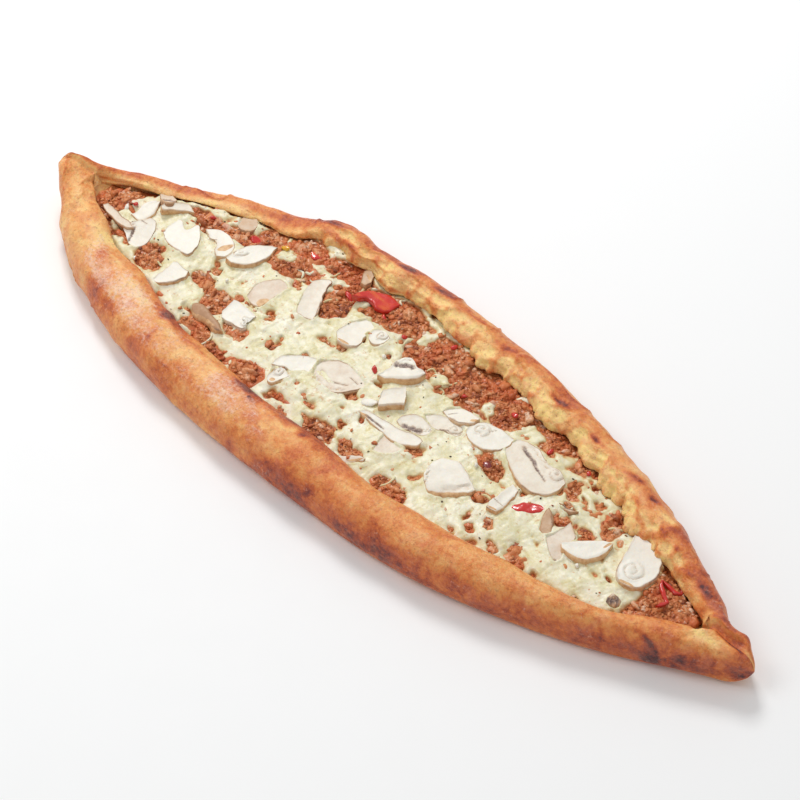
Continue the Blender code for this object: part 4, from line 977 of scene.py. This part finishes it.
def blobs(name, centres, radii, material, tone, seed, rows=4, segments=7, dent=0.30, flat=None):
    """Joined lumpy balls: spheres of a few dozen triangles, stretched, turned, and dented by noise as
    wide as a ball; each ball's tone is raised towards its top as painted light."""
    rng = np.random.default_rng(seed)
    count = len(centres)
    polar = np.linspace(0, math.pi, rows + 1)[1:-1]
    turn = np.linspace(0, math.tau, segments, endpoint=False)
    sphere = [(0, 0, 1)]
    for angle in polar:
        sphere += [(math.sin(angle) * math.cos(t), math.sin(angle) * math.sin(t), math.cos(angle)) for t in turn]
    sphere = np.array(sphere + [(0, 0, -1)])
    faces = []
    last = len(sphere) - 1
    for j in range(segments):
        k = (j + 1) % segments
        faces.append((0, 1 + j, 1 + k))
        for row in range(rows - 2):
            a = 1 + row * segments
            faces.append((a + j, a + segments + j, a + segments + k))
            faces.append((a + j, a + segments + k, a + k))
        a = 1 + (rows - 2) * segments
        faces.append((a + j, last, a + k))
    number = np.arange(count)[:, None] * 3.7
    ball = sphere[None] + 0 * number[..., None]
    dents = 1 + dent * 1.3 * noise(ball[..., 0] + number, ball[..., 1], ball[..., 2], 0.8, seed)
    dents += 0.35 * dent * rng.uniform(-1, 1, dents.shape)
    shape = ball * dents[..., None] * np.asarray(radii)[:, None, :]
    spin = rng.uniform(0, math.tau, count)
    tilt = rng.normal(0, 0.35, count) if flat is None else np.full(count, flat)
    c, s = np.cos(tilt)[:, None], np.sin(tilt)[:, None]
    px, pz = shape[..., 0] * c + shape[..., 2] * s, shape[..., 2] * c - shape[..., 0] * s
    c, s = np.cos(spin)[:, None], np.sin(spin)[:, None]
    points = np.stack([px * c - shape[..., 1] * s, px * s + shape[..., 1] * c, pz], -1)
    points = points + np.asarray(centres)[:, None, :]
    all_faces = (np.array(faces)[None] + (np.arange(count) * len(sphere))[:, None, None]).reshape(-1, 3)
    # Painted light: the tone shifts by 0.08 from each ball's underside to its top, so meat crumbs are lighter on top.
    values = np.asarray(tone)[:, None] + 0.08 * sphere[None, :, 2]
    return new_mesh(name, points.reshape(-1, 3), all_faces, material, {"tone": np.clip(values, 0, 1)})


def scattered(spacing, seed):
    """Jittered places all over the filling, one to a square of that spacing."""
    rng = np.random.default_rng(seed)
    x, y = np.meshgrid(np.arange(-190, 184, spacing), np.arange(-60, 62, spacing), indexing="ij")
    x = (x + rng.uniform(-0.5, 0.5, x.shape) * spacing).ravel()
    y = (y + rng.uniform(-0.5, 0.5, y.shape) * spacing).ravel()
    near_lip, far_lip = lips(x)
    keep = (y > near_lip + 0.6) & (y < far_lip - 0.3) & (x > OPENING_LEFT + 8) & (x < OPENING_RIGHT - 8)
    return x[keep], y[keep], rng


def make_crumbs(settings):
    """Crumbs of meat lying where no cheese covers them: chunks, crumbs and the finest grains."""
    made = []
    for name, spacing, low, high, rows, segments, seed in (
            ("mince_chunks", 2.8, 0.9, 2.0, 7, 10, 171), ("mince_crumbs", 1.0, 0.45, 1.2, 4, 7, 71),
            ("mince_grains", 0.75, 0.25, 0.6, 3, 5, 271)):
        x, y, rng = scattered(settings.crumb_spacing / MM * spacing, seed)
        keep = bare(x, y) > -0.3
        x, y = x[keep], y[keep]
        size = low + (high - low) * rng.random(len(x)) ** 1.6
        radii = np.stack([size * rng.uniform(1.0, 2.2, len(x)), size, size * rng.uniform(0.6, 0.95, len(x))], -1)
        z = meat_level(x, y) - 0.12 * size
        tone = meat_tone_and_shade(x, y) + rng.normal(0, 0.15, len(x)) + 0.35 * (rng.random(len(x)) > 0.94)
        made.append(blobs(name, np.stack([x, y, z], -1), radii, mince_material(settings),
                          np.clip(tone, 0.05, 1), seed + 1, rows, segments, 0.50))
    return made


def cheese_level(x, y):
    """Top of the cheese, and how thinly it lies with painted shade in its low parts: full over the meat, diving under
    it where it is bare.
    """
    inside = -bare(x, y)
    thick = np.where(inside > 0, 2.0 * (1 - np.exp(-np.maximum(inside, 0) / 1.3)), inside * 1.4) - 0.15
    thick = np.maximum(thick, -3.0)
    lumps, _ = cells(x + 2 * noise(x, y, 0, 8, 81), y, 8.0, 82)
    bend = 3 * noise(x, y, 0, 16, 86)
    shreds = sum(np.abs(noise((x * c - y * d) / 3.0 + bend, (x * d + y * c) + bend, 0, 2.4, seed))
                 for c, d, seed in ((0.85, 0.53, 87), (0.35, -0.94, 88)))
    swell = 0.6 * (0.5 - lumps) + 0.75 * noise(x, y, 0, 13, 83) + 0.20 * rough(x, y, 0, 4.5, 84) \
        + 0.30 * (shreds - 0.5) + 0.14 * meat_lumps(x, y)
    covered = smooth(-0.5, 1.6, thick)
    level = filling_top(x, y) + tip_lift(x) + thick + swell * covered - 1.2 * smooth(-140, -168, x)
    near_lip, far_lip = lips(x)
    level -= 1.1 * smooth(2.0, -0.5, np.minimum(y - near_lip, far_lip - y))
    for row in MUSHROOMS:
        near = (np.abs(x - row[0]) < 24) & (np.abs(y - row[1]) < 24)
        away = outline_distance(row, x[near], y[near])
        level[near] += 0.8 * covered[near] * np.exp(-np.maximum(away, 0) / 1.2) - 1.6 * smooth(0.2, -1.2, away)
    # Painted shade: low parts of the cheese lean towards the yellow-brown veil colour, its swells away from it.
    return level, np.clip(1 - thick / 1.6, 0, 1) + 0.35 * np.clip(noise(x, y, 0, 15, 85), 0, 1) - 0.26 * swell


def make_cheese_sheet(settings):
    """One closed sheet; its underside lies buried in the meat."""
    x, y = filling_grid(640, 140, (CHEESE_ENDS[0] - 3, CHEESE_ENDS[1] + 3), 1.5)
    level, thin_and_shade = cheese_level(x, y)
    top = np.stack([x, y, level], -1)
    under = filling_top(x[:, [0, 70, 139]], y[:, [0, 70, 139]]) + tip_lift(x[:, :3]) - 5.4
    low = np.stack([x[:, :3], y[:, [139, 70, 0]], under[:, ::-1]], -1)
    rings = np.concatenate([top, low], axis=1)
    thin_and_shade = np.concatenate([thin_and_shade, np.ones((len(x), 3))], axis=1)
    return loft("cheese_sheet", rings, cheese_material(settings), {"thin_and_shade": thin_and_shade})


def tubes(name, paths, radius, material, attributes):
    """Joined slender strings: a hexagon carried along each path (strings, points, 3)."""
    strings, count = paths.shape[:2]
    forward = np.gradient(paths, axis=1)
    side = np.cross(forward, (0, 0, 1.0))
    side /= np.maximum(np.linalg.norm(side, axis=2, keepdims=True), 1e-6)
    up = np.cross(side, forward)
    up /= np.maximum(np.linalg.norm(up, axis=2, keepdims=True), 1e-6)
    turn = np.linspace(0, math.tau, 6, endpoint=False)
    taper = np.sqrt(np.clip(1 - np.linspace(-1, 1, count) ** 4, 0.02, 1))
    size = (radius[:, None] * taper[None, :])[..., None, None]
    ring = side[:, :, None] * np.cos(turn)[None, None, :, None] + up[:, :, None] * np.sin(turn)[None, None, :, None]
    points = paths[:, :, None] + ring * size
    ends = paths[:, [0, -1]]
    block = np.concatenate([points.reshape(strings, -1, 3), ends], axis=1)
    faces = []
    for face in loft_faces(count, 6).tolist():
        faces += [(face[0], face[1], face[2]), (face[0], face[2], face[3])]
    for row, pole in ((0, count * 6), (count - 1, count * 6 + 1)):
        faces += [(row * 6 + j, row * 6 + (j + 1) % 6, pole) for j in range(6)]
    all_faces = (np.array(faces)[None] + (np.arange(strings) * block.shape[1])[:, None, None]).reshape(-1, 3)
    values = {key: np.repeat(value[:, None], block.shape[1], axis=1) for key, value in attributes.items()}
    return new_mesh(name, block.reshape(-1, 3), all_faces, material, values)


def make_cheese_strings(settings):
    """Shreds of cheese that sagged over bare meat: short arcs that follow its top."""
    x, y, rng = scattered(8.5, 91)
    inside = bare(x, y)
    keep = (inside > -0.5) & (inside < 2.5) & (x > -150) & (x < 158) & (rng.random(len(x)) < 0.3)
    x, y = x[keep], y[keep]
    t = np.linspace(-0.5, 0.5, 13)[None, :]
    angle = rng.uniform(0, math.pi, len(x))[:, None]
    length = rng.uniform(4, 9, len(x))[:, None]
    curl = rng.uniform(-2.5, 2.5, len(x))[:, None] * (1 - 4 * t * t)
    px = x[:, None] + np.cos(angle) * length * t - np.sin(angle) * curl
    py = y[:, None] + np.sin(angle) * length * t + np.cos(angle) * curl
    near_lip, far_lip = lips(px)
    py = np.clip(py, near_lip + 0.5, far_lip + 0.5)
    ground = np.maximum(meat_level(px, py), cheese_level(px, py)[0])
    smoothed = (ground + np.roll(ground, 1, 1) + np.roll(ground, -1, 1)) / 3
    smoothed[:, [0, -1]] = ground[:, [0, -1]] - 0.5
    paths = np.stack([px, py, smoothed + 0.35], -1)
    radius = rng.uniform(0.4, 0.9, len(x))
    return tubes("cheese_strings", paths, radius, cheese_material(settings), {"thin_and_shade": rng.uniform(0.1, 0.6, len(x))})


# ---------------------------------------------------------------- cut pieces

def even_points(side, share, blur):
    """Points at shares of the way along one side of an outline, its corners rounded over a blur in mm."""
    side = np.array(side, float)
    step = np.concatenate([[0], np.cumsum(np.hypot(*np.diff(side, axis=0).T))])
    fine = np.linspace(0, step[-1], 241)
    points = np.stack([np.interp(fine, step, side[:, k]) for k in (0, 1)], -1)
    width = max(1, min(100, int(blur / (step[-1] / 240))))
    for _ in range(2):
        wide = np.concatenate([2 * points[:1] - points[width:0:-1], points, 2 * points[-1:] - points[-2:-width - 2:-1]])
        points = np.stack([np.convolve(wide[:, k], np.full(2 * width + 1, 1 / (2 * width + 1)), "valid")
                           for k in (0, 1)], -1)
    return np.stack([np.interp(share * 240, np.arange(241), points[:, k]) for k in (0, 1)], -1)


def outline_distance(row, x, y):
    """Distance in mm from a slice's outline, below 0 inside it."""
    sides = np.array(row[8] + row[9][-2:0:-1], float) + (row[0], row[1])
    after = np.roll(sides, -1, axis=0)
    best, crossings = np.full(np.shape(x), 99.0), np.zeros(np.shape(x), bool)
    for (ax, ay), (bx, by) in zip(sides, after):
        run = max((bx - ax) ** 2 + (by - ay) ** 2, 1e-6)
        t = np.clip(((x - ax) * (bx - ax) + (y - ay) * (by - ay)) / run, 0, 1)
        best = np.minimum(best, np.hypot(x - ax - t * (bx - ax), y - ay - t * (by - ay)))
        rise = by - ay if abs(by - ay) > 1e-9 else 1e-9
        crossings ^= ((ay > y) != (by > y)) & (x < ax + (y - ay) * (bx - ax) / rise)
    return np.where(crossings, -best, best)


def upwards(node):
    """The direction a flat CAD piece faces."""
    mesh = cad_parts[node].data
    normals = np.array([(*face.normal, face.area) for face in mesh.polygons])
    flat = normals[normals[:, 2] > 0.8]
    up = (flat[:, :3] * flat[:, 3:]).sum(axis=0)
    return up / np.linalg.norm(up)


SLICE_STATIONS, SLICE_FACE = 64, 40


def slice_surface(row, number):
    """Rings across a slice from its first side to its second: a rounded skin edge, a flat face, a crisp cut
    edge, walls and a bottom. The face is wavy (noise of 5 mm) and dished. Gills are striped grooves, a line
    is a shallow one, an edge only a brown line, a frill a strip of small lumps, a curl a spiral groove."""
    _, _, _, thickness, cooked, skin_share, soft, stick, side_1, side_2, rows = row
    share = (1 - np.cos(np.linspace(0, math.pi, SLICE_STATIONS + 2)[1:-1])) / 2
    seed = 200 + number * 9
    edges = []
    for side in (side_1, side_2):
        edge = even_points(side, share, 0.25 + 0.8 * soft)
        wander = [0.28 * noise(edge[:, 0], edge[:, 1], k, 3.4, seed) + 0.14 * noise(edge[:, 0], edge[:, 1], k, 1.3, seed + 1)
                  for k in (0, 7)]
        edges.append(edge + np.stack(wander, -1))
    width = np.maximum(np.hypot(*(edges[1] - edges[0]).T), 0.02)[:, None]
    # one ring: how far in from the first side, in mm, and how deep below the face
    turn = np.linspace(0, math.pi / 2, 8)[None, :]
    round_in = np.minimum(0.7 + stick * width / 2, width * 0.49)
    crisp_in = np.minimum(0.35 + stick * width / 2, width * 0.49)
    round_down, crisp_down = thickness * (0.38 + 0.12 * stick), 0.35 + stick * (thickness / 2 - 0.35)
    face = np.linspace(0, 1, SLICE_FACE + 2)[None, 1:-1]
    wall = np.array([0.35, 0.7, 1.0])[None, :]
    one = np.ones_like(width)
    inward = np.concatenate([
        round_in * (1 - np.cos(turn)), round_in + (width - round_in - crisp_in) * face,
        width - crisp_in * (1 - np.cos(turn[:, ::-1])), width * np.ones_like(wall),
        width * np.array([0.66, 0.33])[None, :], 0 * width * wall], axis=1)
    down = np.concatenate([
        round_down * (1 - np.sin(turn)) * one, 0 * face * one, crisp_down * (1 - np.sin(turn[:, ::-1])) * one,
        (crisp_down + (thickness - crisp_down) * wall) * one, thickness * np.ones((1, 2)) * one,
        (thickness - (thickness - round_down) * (wall - 0.35)) * one], axis=1)
    first = np.arange(down.shape[1])
    outer = (first < 8) | (first >= down.shape[1] - 3)
    swell = 0.16 * thickness * skin_share * outer[None, :] * np.sin(np.clip(down / thickness, 0, 1) * math.pi) \
        * np.minimum(1, width / 4)
    across = (inward - swell) / width
    x = edges[0][:, :1] + (edges[1] - edges[0])[:, :1] * across
    y = edges[0][:, 1:] + (edges[1] - edges[0])[:, 1:] * across
    top = np.clip(1 - down / (0.6 * thickness), 0, 1)
    to_edge = np.minimum(inward, width - inward)
    z = -down + top * (0.26 * rough(x, y, 0, 5, seed + 5) + 0.15 * thickness * noise(share * 1.4, 0, 0, 1, seed + 7)[:, None]
                       - 0.09 * thickness * (1 - np.abs(2 * inward / width - 1) ** 2))
    z += top * 0.12 * smooth(1.0, 0.2, to_edge) * (1 - stick)
    gill, tan = np.zeros_like(x), np.zeros_like(x)
    for mark, at_x, at_y, half_long, half_wide, angle in rows:
        c, s = math.cos(math.radians(angle)), math.sin(math.radians(angle))
        dx, dy = (x - at_x) * c + (y - at_y) * s, (y - at_y) * c - (x - at_x) * s
        dy = dy + 0.3 * half_wide * noise(x, y, 0, 2.6, seed + 8)
        q = (dx / half_long) ** 2 + (dy / half_wide) ** 2
        strip = smooth(1.08, 0.8, np.abs(dx) / half_long) * smooth(1.25, 0.6, np.abs(dy) / half_wide)
        stripes = 0.5 + 0.5 * np.cos(dx / 0.16 + 5.0 * noise(x, y, 0, 1.6, seed + 6))
        speckle = rough(x, y, 0, 0.9, seed + 12, 2)
        if mark == "gill":
            strip = smooth(1.3, 0.7, np.abs(dx) / half_long) * smooth(1.9, 0.3, np.abs(dy) / half_wide + 0.7 * speckle)
            gill = np.maximum(gill, strip * (0.80 + 0.20 * stripes))
            z = z - top * strip * (0.35 + 0.25 * stripes + 0.25 * speckle)
        elif mark == "line":
            gill = np.maximum(gill, strip * 0.6)
            z = z - top * strip * 0.45
        elif mark == "edge":
            gill = np.maximum(gill, strip * 0.62)
        elif mark == "frill":
            lumps, _ = cells(x, y, 1.5, seed + 9)
            z = z + top * strip * (1.4 * (0.45 - lumps) - 0.1)
            # Painted shade: the frill is darker and tan between its lumps, paler on their tops.
            gill = np.maximum(gill, strip * 0.5 * smooth(0.40, 0.75, lumps))
            tan = np.maximum(tan, 0.55 * strip * smooth(0.1, 0.5, lumps))
        elif mark == "curl":
            radius = np.sqrt(q)
            turns = np.cos(math.tau * 1.4 * radius - np.arctan2(dy, dx))
            zone = smooth(1.25, 0.95, radius)
            z = z + top * zone * (0.9 * np.sqrt(np.clip(1.2 - radius, 0, 1)) - 0.5 * smooth(-0.3, -1.0, turns))
            gill = np.maximum(gill, 0.42 * smooth(-0.5, -1.0, turns) * zone)
            tan = np.maximum(tan, 0.45 * zone * smooth(0.2, -0.9, turns))
        elif mark == "facet":
            tan = np.maximum(tan, 0.45 * strip)
            z = z - top * strip * 0.9
        else:
            tan = np.maximum(tan, smooth(1.5, 0.4, q))
    skin = np.maximum(outer[None, :] * smooth(0.02, 0.22, down / thickness) * skin_share, tan * 0.9)
    rim = smooth(0.65, 0.2, to_edge) * (0.6 + 0.8 * noise(x, y, 0, 4, seed + 10))
    skin = np.maximum(skin, np.clip(0.75 * rim, 0, 0.7) * (0.4 + 0.6 * skin_share) * (top > 0.7))
    gill = np.maximum(gill, 0.60 * smooth(0.60, 0.2, to_edge) * smooth(-0.2, 0.4, noise(x, y, 0, 6, seed + 11)) * (top > 0.7))
    # Warmer near the cut edge, where it browned, and towards tan down the walls as painted shade.
    warmth_and_side_shade = cooked - 0.02 + 0.30 * smooth(0.9, 0.1, to_edge) + 0.40 * smooth(0.2, 0.7, down / thickness)
    warmth_and_side_shade = warmth_and_side_shade + 0.35 * smooth(0.05, 0.5, gill) * smooth(0.9, 0.5, gill)
    return np.stack([x, y, z], -1), np.clip(warmth_and_side_shade, 0, 1), np.clip(skin, 0, 1), gill


def laid(row, node, local):
    """A slice's local points put in place: its top plane faces as its CAD piece does."""
    up = upwards(node)
    x0, y0, lift = row[:3]
    height = float(filling_top(np.array([x0], float), np.array([y0], float))[0] + tip_lift(np.array([x0], float))[0])
    x, y = x0 + local[..., 0], y0 + local[..., 1]
    z = height + CHEESE_DEPTH + lift - (up[0] * local[..., 0] + up[1] * local[..., 1]) / up[2]
    return np.stack([x, y, z], -1) + local[..., 2:] * up


def make_mushrooms(settings):
    """Every slice on its CAD piece, sunk a little into the cheese."""
    made = []
    material = mushroom_material(settings)
    for number, row in enumerate(MUSHROOMS, start=1):
        node = "mushroom_%02d" % number
        local, cooked, skin, gill = slice_surface(row, number)
        local[..., 2] -= settings.sink / MM
        # The cooked value carries how cooked the slice is and painted shade on its walls.
        piece = loft("mushroom_slice_%02d" % number, laid(row, node, local), material,
                     {"cooked": cooked, "skin": skin, "gill": gill})
        made.append((piece, [node], "mushroom"))
    return made


def make_peppers(settings):
    """Strips of pepper, rounded like cushions and slightly wrinkled."""
    made = []
    material = pepper_material(settings)
    for number, row in enumerate(PEPPERS, start=1):
        node = "pepper_%d" % number
        local, warmth_and_side_shade, _, _ = slice_surface(row, 60 + number)
        rings = laid(row, node, local)
        rings[..., 2] += 0.35 * noise(local[..., 0], local[..., 1], number, 3.2, 330)
        # The tone follows the slice's warmth, which darkens the strip's walls as painted shade.
        tone = row[4] + 0.14 * noise(rings[..., 0], rings[..., 1], 0, 4, 340) + 0.3 * (warmth_and_side_shade - row[4])
        piece = loft("pepper_piece_%d" % number, rings, material, {"tone": np.clip(tone, 0, 1)})
        made.append((piece, [node], "pepper"))
    return made


def make_mushroom_bits(settings):
    """Small white bits of mushroom in the cheese."""
    rows = np.array(MUSHROOM_BITS, float)
    z = cheese_level(rows[:, 0], rows[:, 1])[0] + 0.6
    radii = np.stack([rows[:, 2] / 2, rows[:, 3] / 2, np.full(len(rows), 1.0)], -1)
    return blobs("mushroom_bits", np.stack([rows[:, 0], rows[:, 1], z], -1), radii, mushroom_material(settings),
                 np.zeros(len(rows)), 96, 8, 12, 0.24)


def make_pepper_bits(settings):
    """Small bits of pepper lying on the meat and the cheese."""
    rows = np.array(PEPPER_BITS, float)
    x, y = rows[:, 0], rows[:, 1]
    z = np.maximum(meat_level(x, y), cheese_level(x, y)[0]) + 0.7
    radii = np.stack([rows[:, 2] / 2, rows[:, 3] / 2, np.full(len(rows), 0.9)], -1)
    return blobs("pepper_bits", np.stack([x, y, z], -1), radii, pepper_material(settings),
                 rows[:, 4] * 0.5, 95, 6, 9, 0.24)


def make_specks(settings):
    """Ground pepper and herb: flakes well under a millimetre or two across."""
    x, y, rng = scattered(10.0, 97)
    keep = rng.random(len(x)) < 0.4
    x, y = x[keep], y[keep]
    z = np.maximum(meat_level(x, y), cheese_level(x, y)[0]) + 0.12
    size = rng.uniform(0.18, 0.48, len(x))
    radii = np.stack([size * rng.uniform(1, 2.2, len(x)), size, size * 0.5], -1)
    return blobs("herb_specks", np.stack([x, y, z], -1), radii, speck_material(settings), rng.random(len(x)), 98, 3, 6, 0.3)


def make_browned_bits(settings):
    """Crumbs of meat caught in the cheese."""
    x, y, rng = scattered(4.6, 101)
    inside = -bare(x, y)
    wanted = 0.09 + 0.30 * smooth(4.0, 0.5, inside)
    keep = (inside > 0.3) & (rng.random(len(x)) < wanted) & (x > -165) & (x < 155)
    x, y = x[keep], y[keep]
    size = rng.uniform(0.4, 1.2, len(x))
    radii = np.stack([size * rng.uniform(1.0, 1.6, len(x)), size, size * 0.7], -1)
    z = cheese_level(x, y)[0] - 0.30 * size
    tone = np.clip(rng.normal(0.66, 0.20, len(x)), 0, 1)
    return blobs("browned_bits", np.stack([x, y, z], -1), radii, mince_material(settings), tone, 102, 4, 7, 0.36)


# ---------------------------------------------------------------- settings

class PideDough(bpy.types.PropertyGroup):
    # Strength of the pale pink highlight painted on the near rim.
    painted_sheen: FloatProperty(name="Flour", description="How much pale bloom lies on the smooth rim",
                         default=0.6, min=0.0, max=1.0, subtype="FACTOR")


class PideFilling(bpy.types.PropertyGroup):
    crumb_spacing: FloatProperty(name="Crumb spacing", description="Distance between loose crumbs of meat",
                                 default=0.0019, min=0.0015, max=0.01, unit="LENGTH")


class PideToppings(bpy.types.PropertyGroup):
    sink: FloatProperty(name="Sink", description="How deep the slices sit in the cheese",
                        default=0.0002, min=0.0, max=0.003, unit="LENGTH")


class PideStage(bpy.types.PropertyGroup):
    floor_colour: FloatVectorProperty(name="Floor colour", description="Colour of the table top",
                                      default=(0.955, 0.96, 0.96), size=3, subtype="COLOR", min=0, max=1)
    sky: FloatProperty(name="Sky", description="Brightness of the white surroundings", default=0.52, min=0)
    key_power: FloatProperty(name="Key light", description="Power of the large soft light", default=13.6,
                             min=0, unit="POWER")
    lens: FloatProperty(name="Lens", description="Focal length of the camera in millimetres", default=118.1, min=20)


def settings_of(group):
    return getattr(bpy.context.scene, group)


def settle(rows):
    """Each finished piece rides on the one body and stands for its CAD pieces."""
    for piece, nodes, slot in rows:
        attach(piece, "root")
        if nodes:
            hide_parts(*nodes)


# ---------------------------------------------------------------- operators

class PIDE_OT_crust(bpy.types.Operator):
    """Make the baked dough boat"""
    bl_idname = "pide.crust"
    bl_label = "Crust"

    def execute(self, context):
        settle(make_crust(settings_of("pide_dough")))
        return {"FINISHED"}


class PIDE_OT_mince(bpy.types.Operator):
    """Make the bed of minced meat and its loose crumbs"""
    bl_idname = "pide.mince"
    bl_label = "Minced meat"

    def execute(self, context):
        settings = settings_of("pide_filling")
        settle([(make_meat_core(settings), ["mince"], "mince"), (make_browned_bits(settings), [], "mince")]
               + [(piece, [], "mince") for piece in make_crumbs(settings)])
        return {"FINISHED"}


class PIDE_OT_cheese(bpy.types.Operator):
    """Make the melted cheese and its strings"""
    bl_idname = "pide.cheese"
    bl_label = "Cheese"

    def execute(self, context):
        settings = settings_of("pide_filling")
        settle([(make_cheese_sheet(settings), ["cheese"], "cheese"), (make_cheese_strings(settings), [], "cheese")])
        return {"FINISHED"}


class PIDE_OT_mushrooms(bpy.types.Operator):
    """Make the mushroom slices"""
    bl_idname = "pide.mushrooms"
    bl_label = "Mushrooms"

    def execute(self, context):
        settings = settings_of("pide_toppings")
        settle(make_mushrooms(settings) + [(make_mushroom_bits(settings), [], "mushroom")])
        return {"FINISHED"}


class PIDE_OT_peppers(bpy.types.Operator):
    """Make the pepper strips, the small bits and the specks of herb"""
    bl_idname = "pide.peppers"
    bl_label = "Peppers and herbs"

    def execute(self, context):
        settings = settings_of("pide_toppings")
        settle(make_peppers(settings) + [(make_pepper_bits(settings), [], "pepper"),
                                         (make_specks(settings), [], "mince")])
        return {"FINISHED"}


class PIDE_OT_stage(bpy.types.Operator):
    """Set up the pale floor, the soft light and the camera"""
    bl_idname = "pide.stage"
    bl_label = "Stage"

    def execute(self, context):
        make_stage(settings_of("pide_stage"))
        return {"FINISHED"}


def make_stage(settings):
    """A wide floor, white surroundings, one large soft light from the left, and the camera."""
    scene = bpy.context.scene
    size = 3000.0
    points = [(-size, -size, -0.2), (size, -size, -0.2), (size, size, -0.2), (-size, size, -0.2)]
    floor = new_mesh("floor", points, [(0, 1, 2, 3)], floor_material(settings), recalc=False)
    world = bpy.data.worlds.new("white_studio")
    world.use_nodes = True
    world.node_tree.nodes["Background"].inputs["Color"].default_value = (1.0, 1.0, 1.0, 1.0)
    world.node_tree.nodes["Background"].inputs["Strength"].default_value = settings.sky
    scene.world = world
    add_light("key", (-0.92, 0.66, 1.30), 0.5, settings.key_power)
    add_light("soft_box", (-0.80, -0.60, 1.40), 0.7, settings.key_power * 0.42)
    scene.view_settings.view_transform = "Standard"
    camera = bpy.data.cameras.new("camera")
    camera.lens = settings.lens
    camera.sensor_width = 36.0
    camera.clip_start = 0.05
    made = bpy.data.objects.new("camera", camera)
    turn, rise = math.radians(43.28), math.radians(49.13)
    back = Vector((math.sin(turn) * math.cos(rise), -math.cos(turn) * math.cos(rise), math.sin(rise)))
    made.location = Vector((-0.00104, 0.01094, 0.0)) + back * 1.203
    made.rotation_euler = (-back).to_track_quat("-Z", "Y").to_euler()
    scene.collection.objects.link(made)
    scene.camera = made


def add_light(name, place, size, power):
    """A square area light that looks at the pide."""
    light = bpy.data.lights.new(name, "AREA")
    light.size = size
    light.energy = power
    made = bpy.data.objects.new(name, light)
    made.location = place
    made.rotation_euler = (-Vector(place)).to_track_quat("-Z", "Y").to_euler()
    bpy.context.scene.collection.objects.link(made)


class PIDE_PT_panel(bpy.types.Panel):
    """Buttons and settings for the pide"""
    bl_idname = "PIDE_PT_panel"
    bl_label = "Pide"
    bl_space_type = "VIEW_3D"
    bl_region_type = "UI"
    bl_category = "Pide"

    def draw(self, context):
        for operator in OPERATORS:
            self.layout.operator(operator.bl_idname)
        for group in GROUPS:
            box = self.layout.box()
            for key in GROUPS[group].__annotations__:
                box.prop(getattr(context.scene, group), key)


GROUPS = {"pide_dough": PideDough, "pide_filling": PideFilling, "pide_toppings": PideToppings,
          "pide_stage": PideStage}
OPERATORS = (PIDE_OT_crust, PIDE_OT_mince, PIDE_OT_cheese, PIDE_OT_mushrooms, PIDE_OT_peppers, PIDE_OT_stage)


def register():
    for group, made in GROUPS.items():
        bpy.utils.register_class(made)
        setattr(bpy.types.Scene, group, PointerProperty(type=made))
    for made in (*OPERATORS, PIDE_PT_panel):
        bpy.utils.register_class(made)


def unregister():
    for made in (PIDE_PT_panel, *OPERATORS):
        bpy.utils.unregister_class(made)
    for group, made in GROUPS.items():
        delattr(bpy.types.Scene, group)
        bpy.utils.unregister_class(made)


def main():
    register()
    bpy.ops.pide.crust()
    bpy.ops.pide.mince()
    bpy.ops.pide.cheese()
    bpy.ops.pide.mushrooms()
    bpy.ops.pide.peppers()
    bpy.ops.pide.stage()


if __name__ == "__main__":
    main()
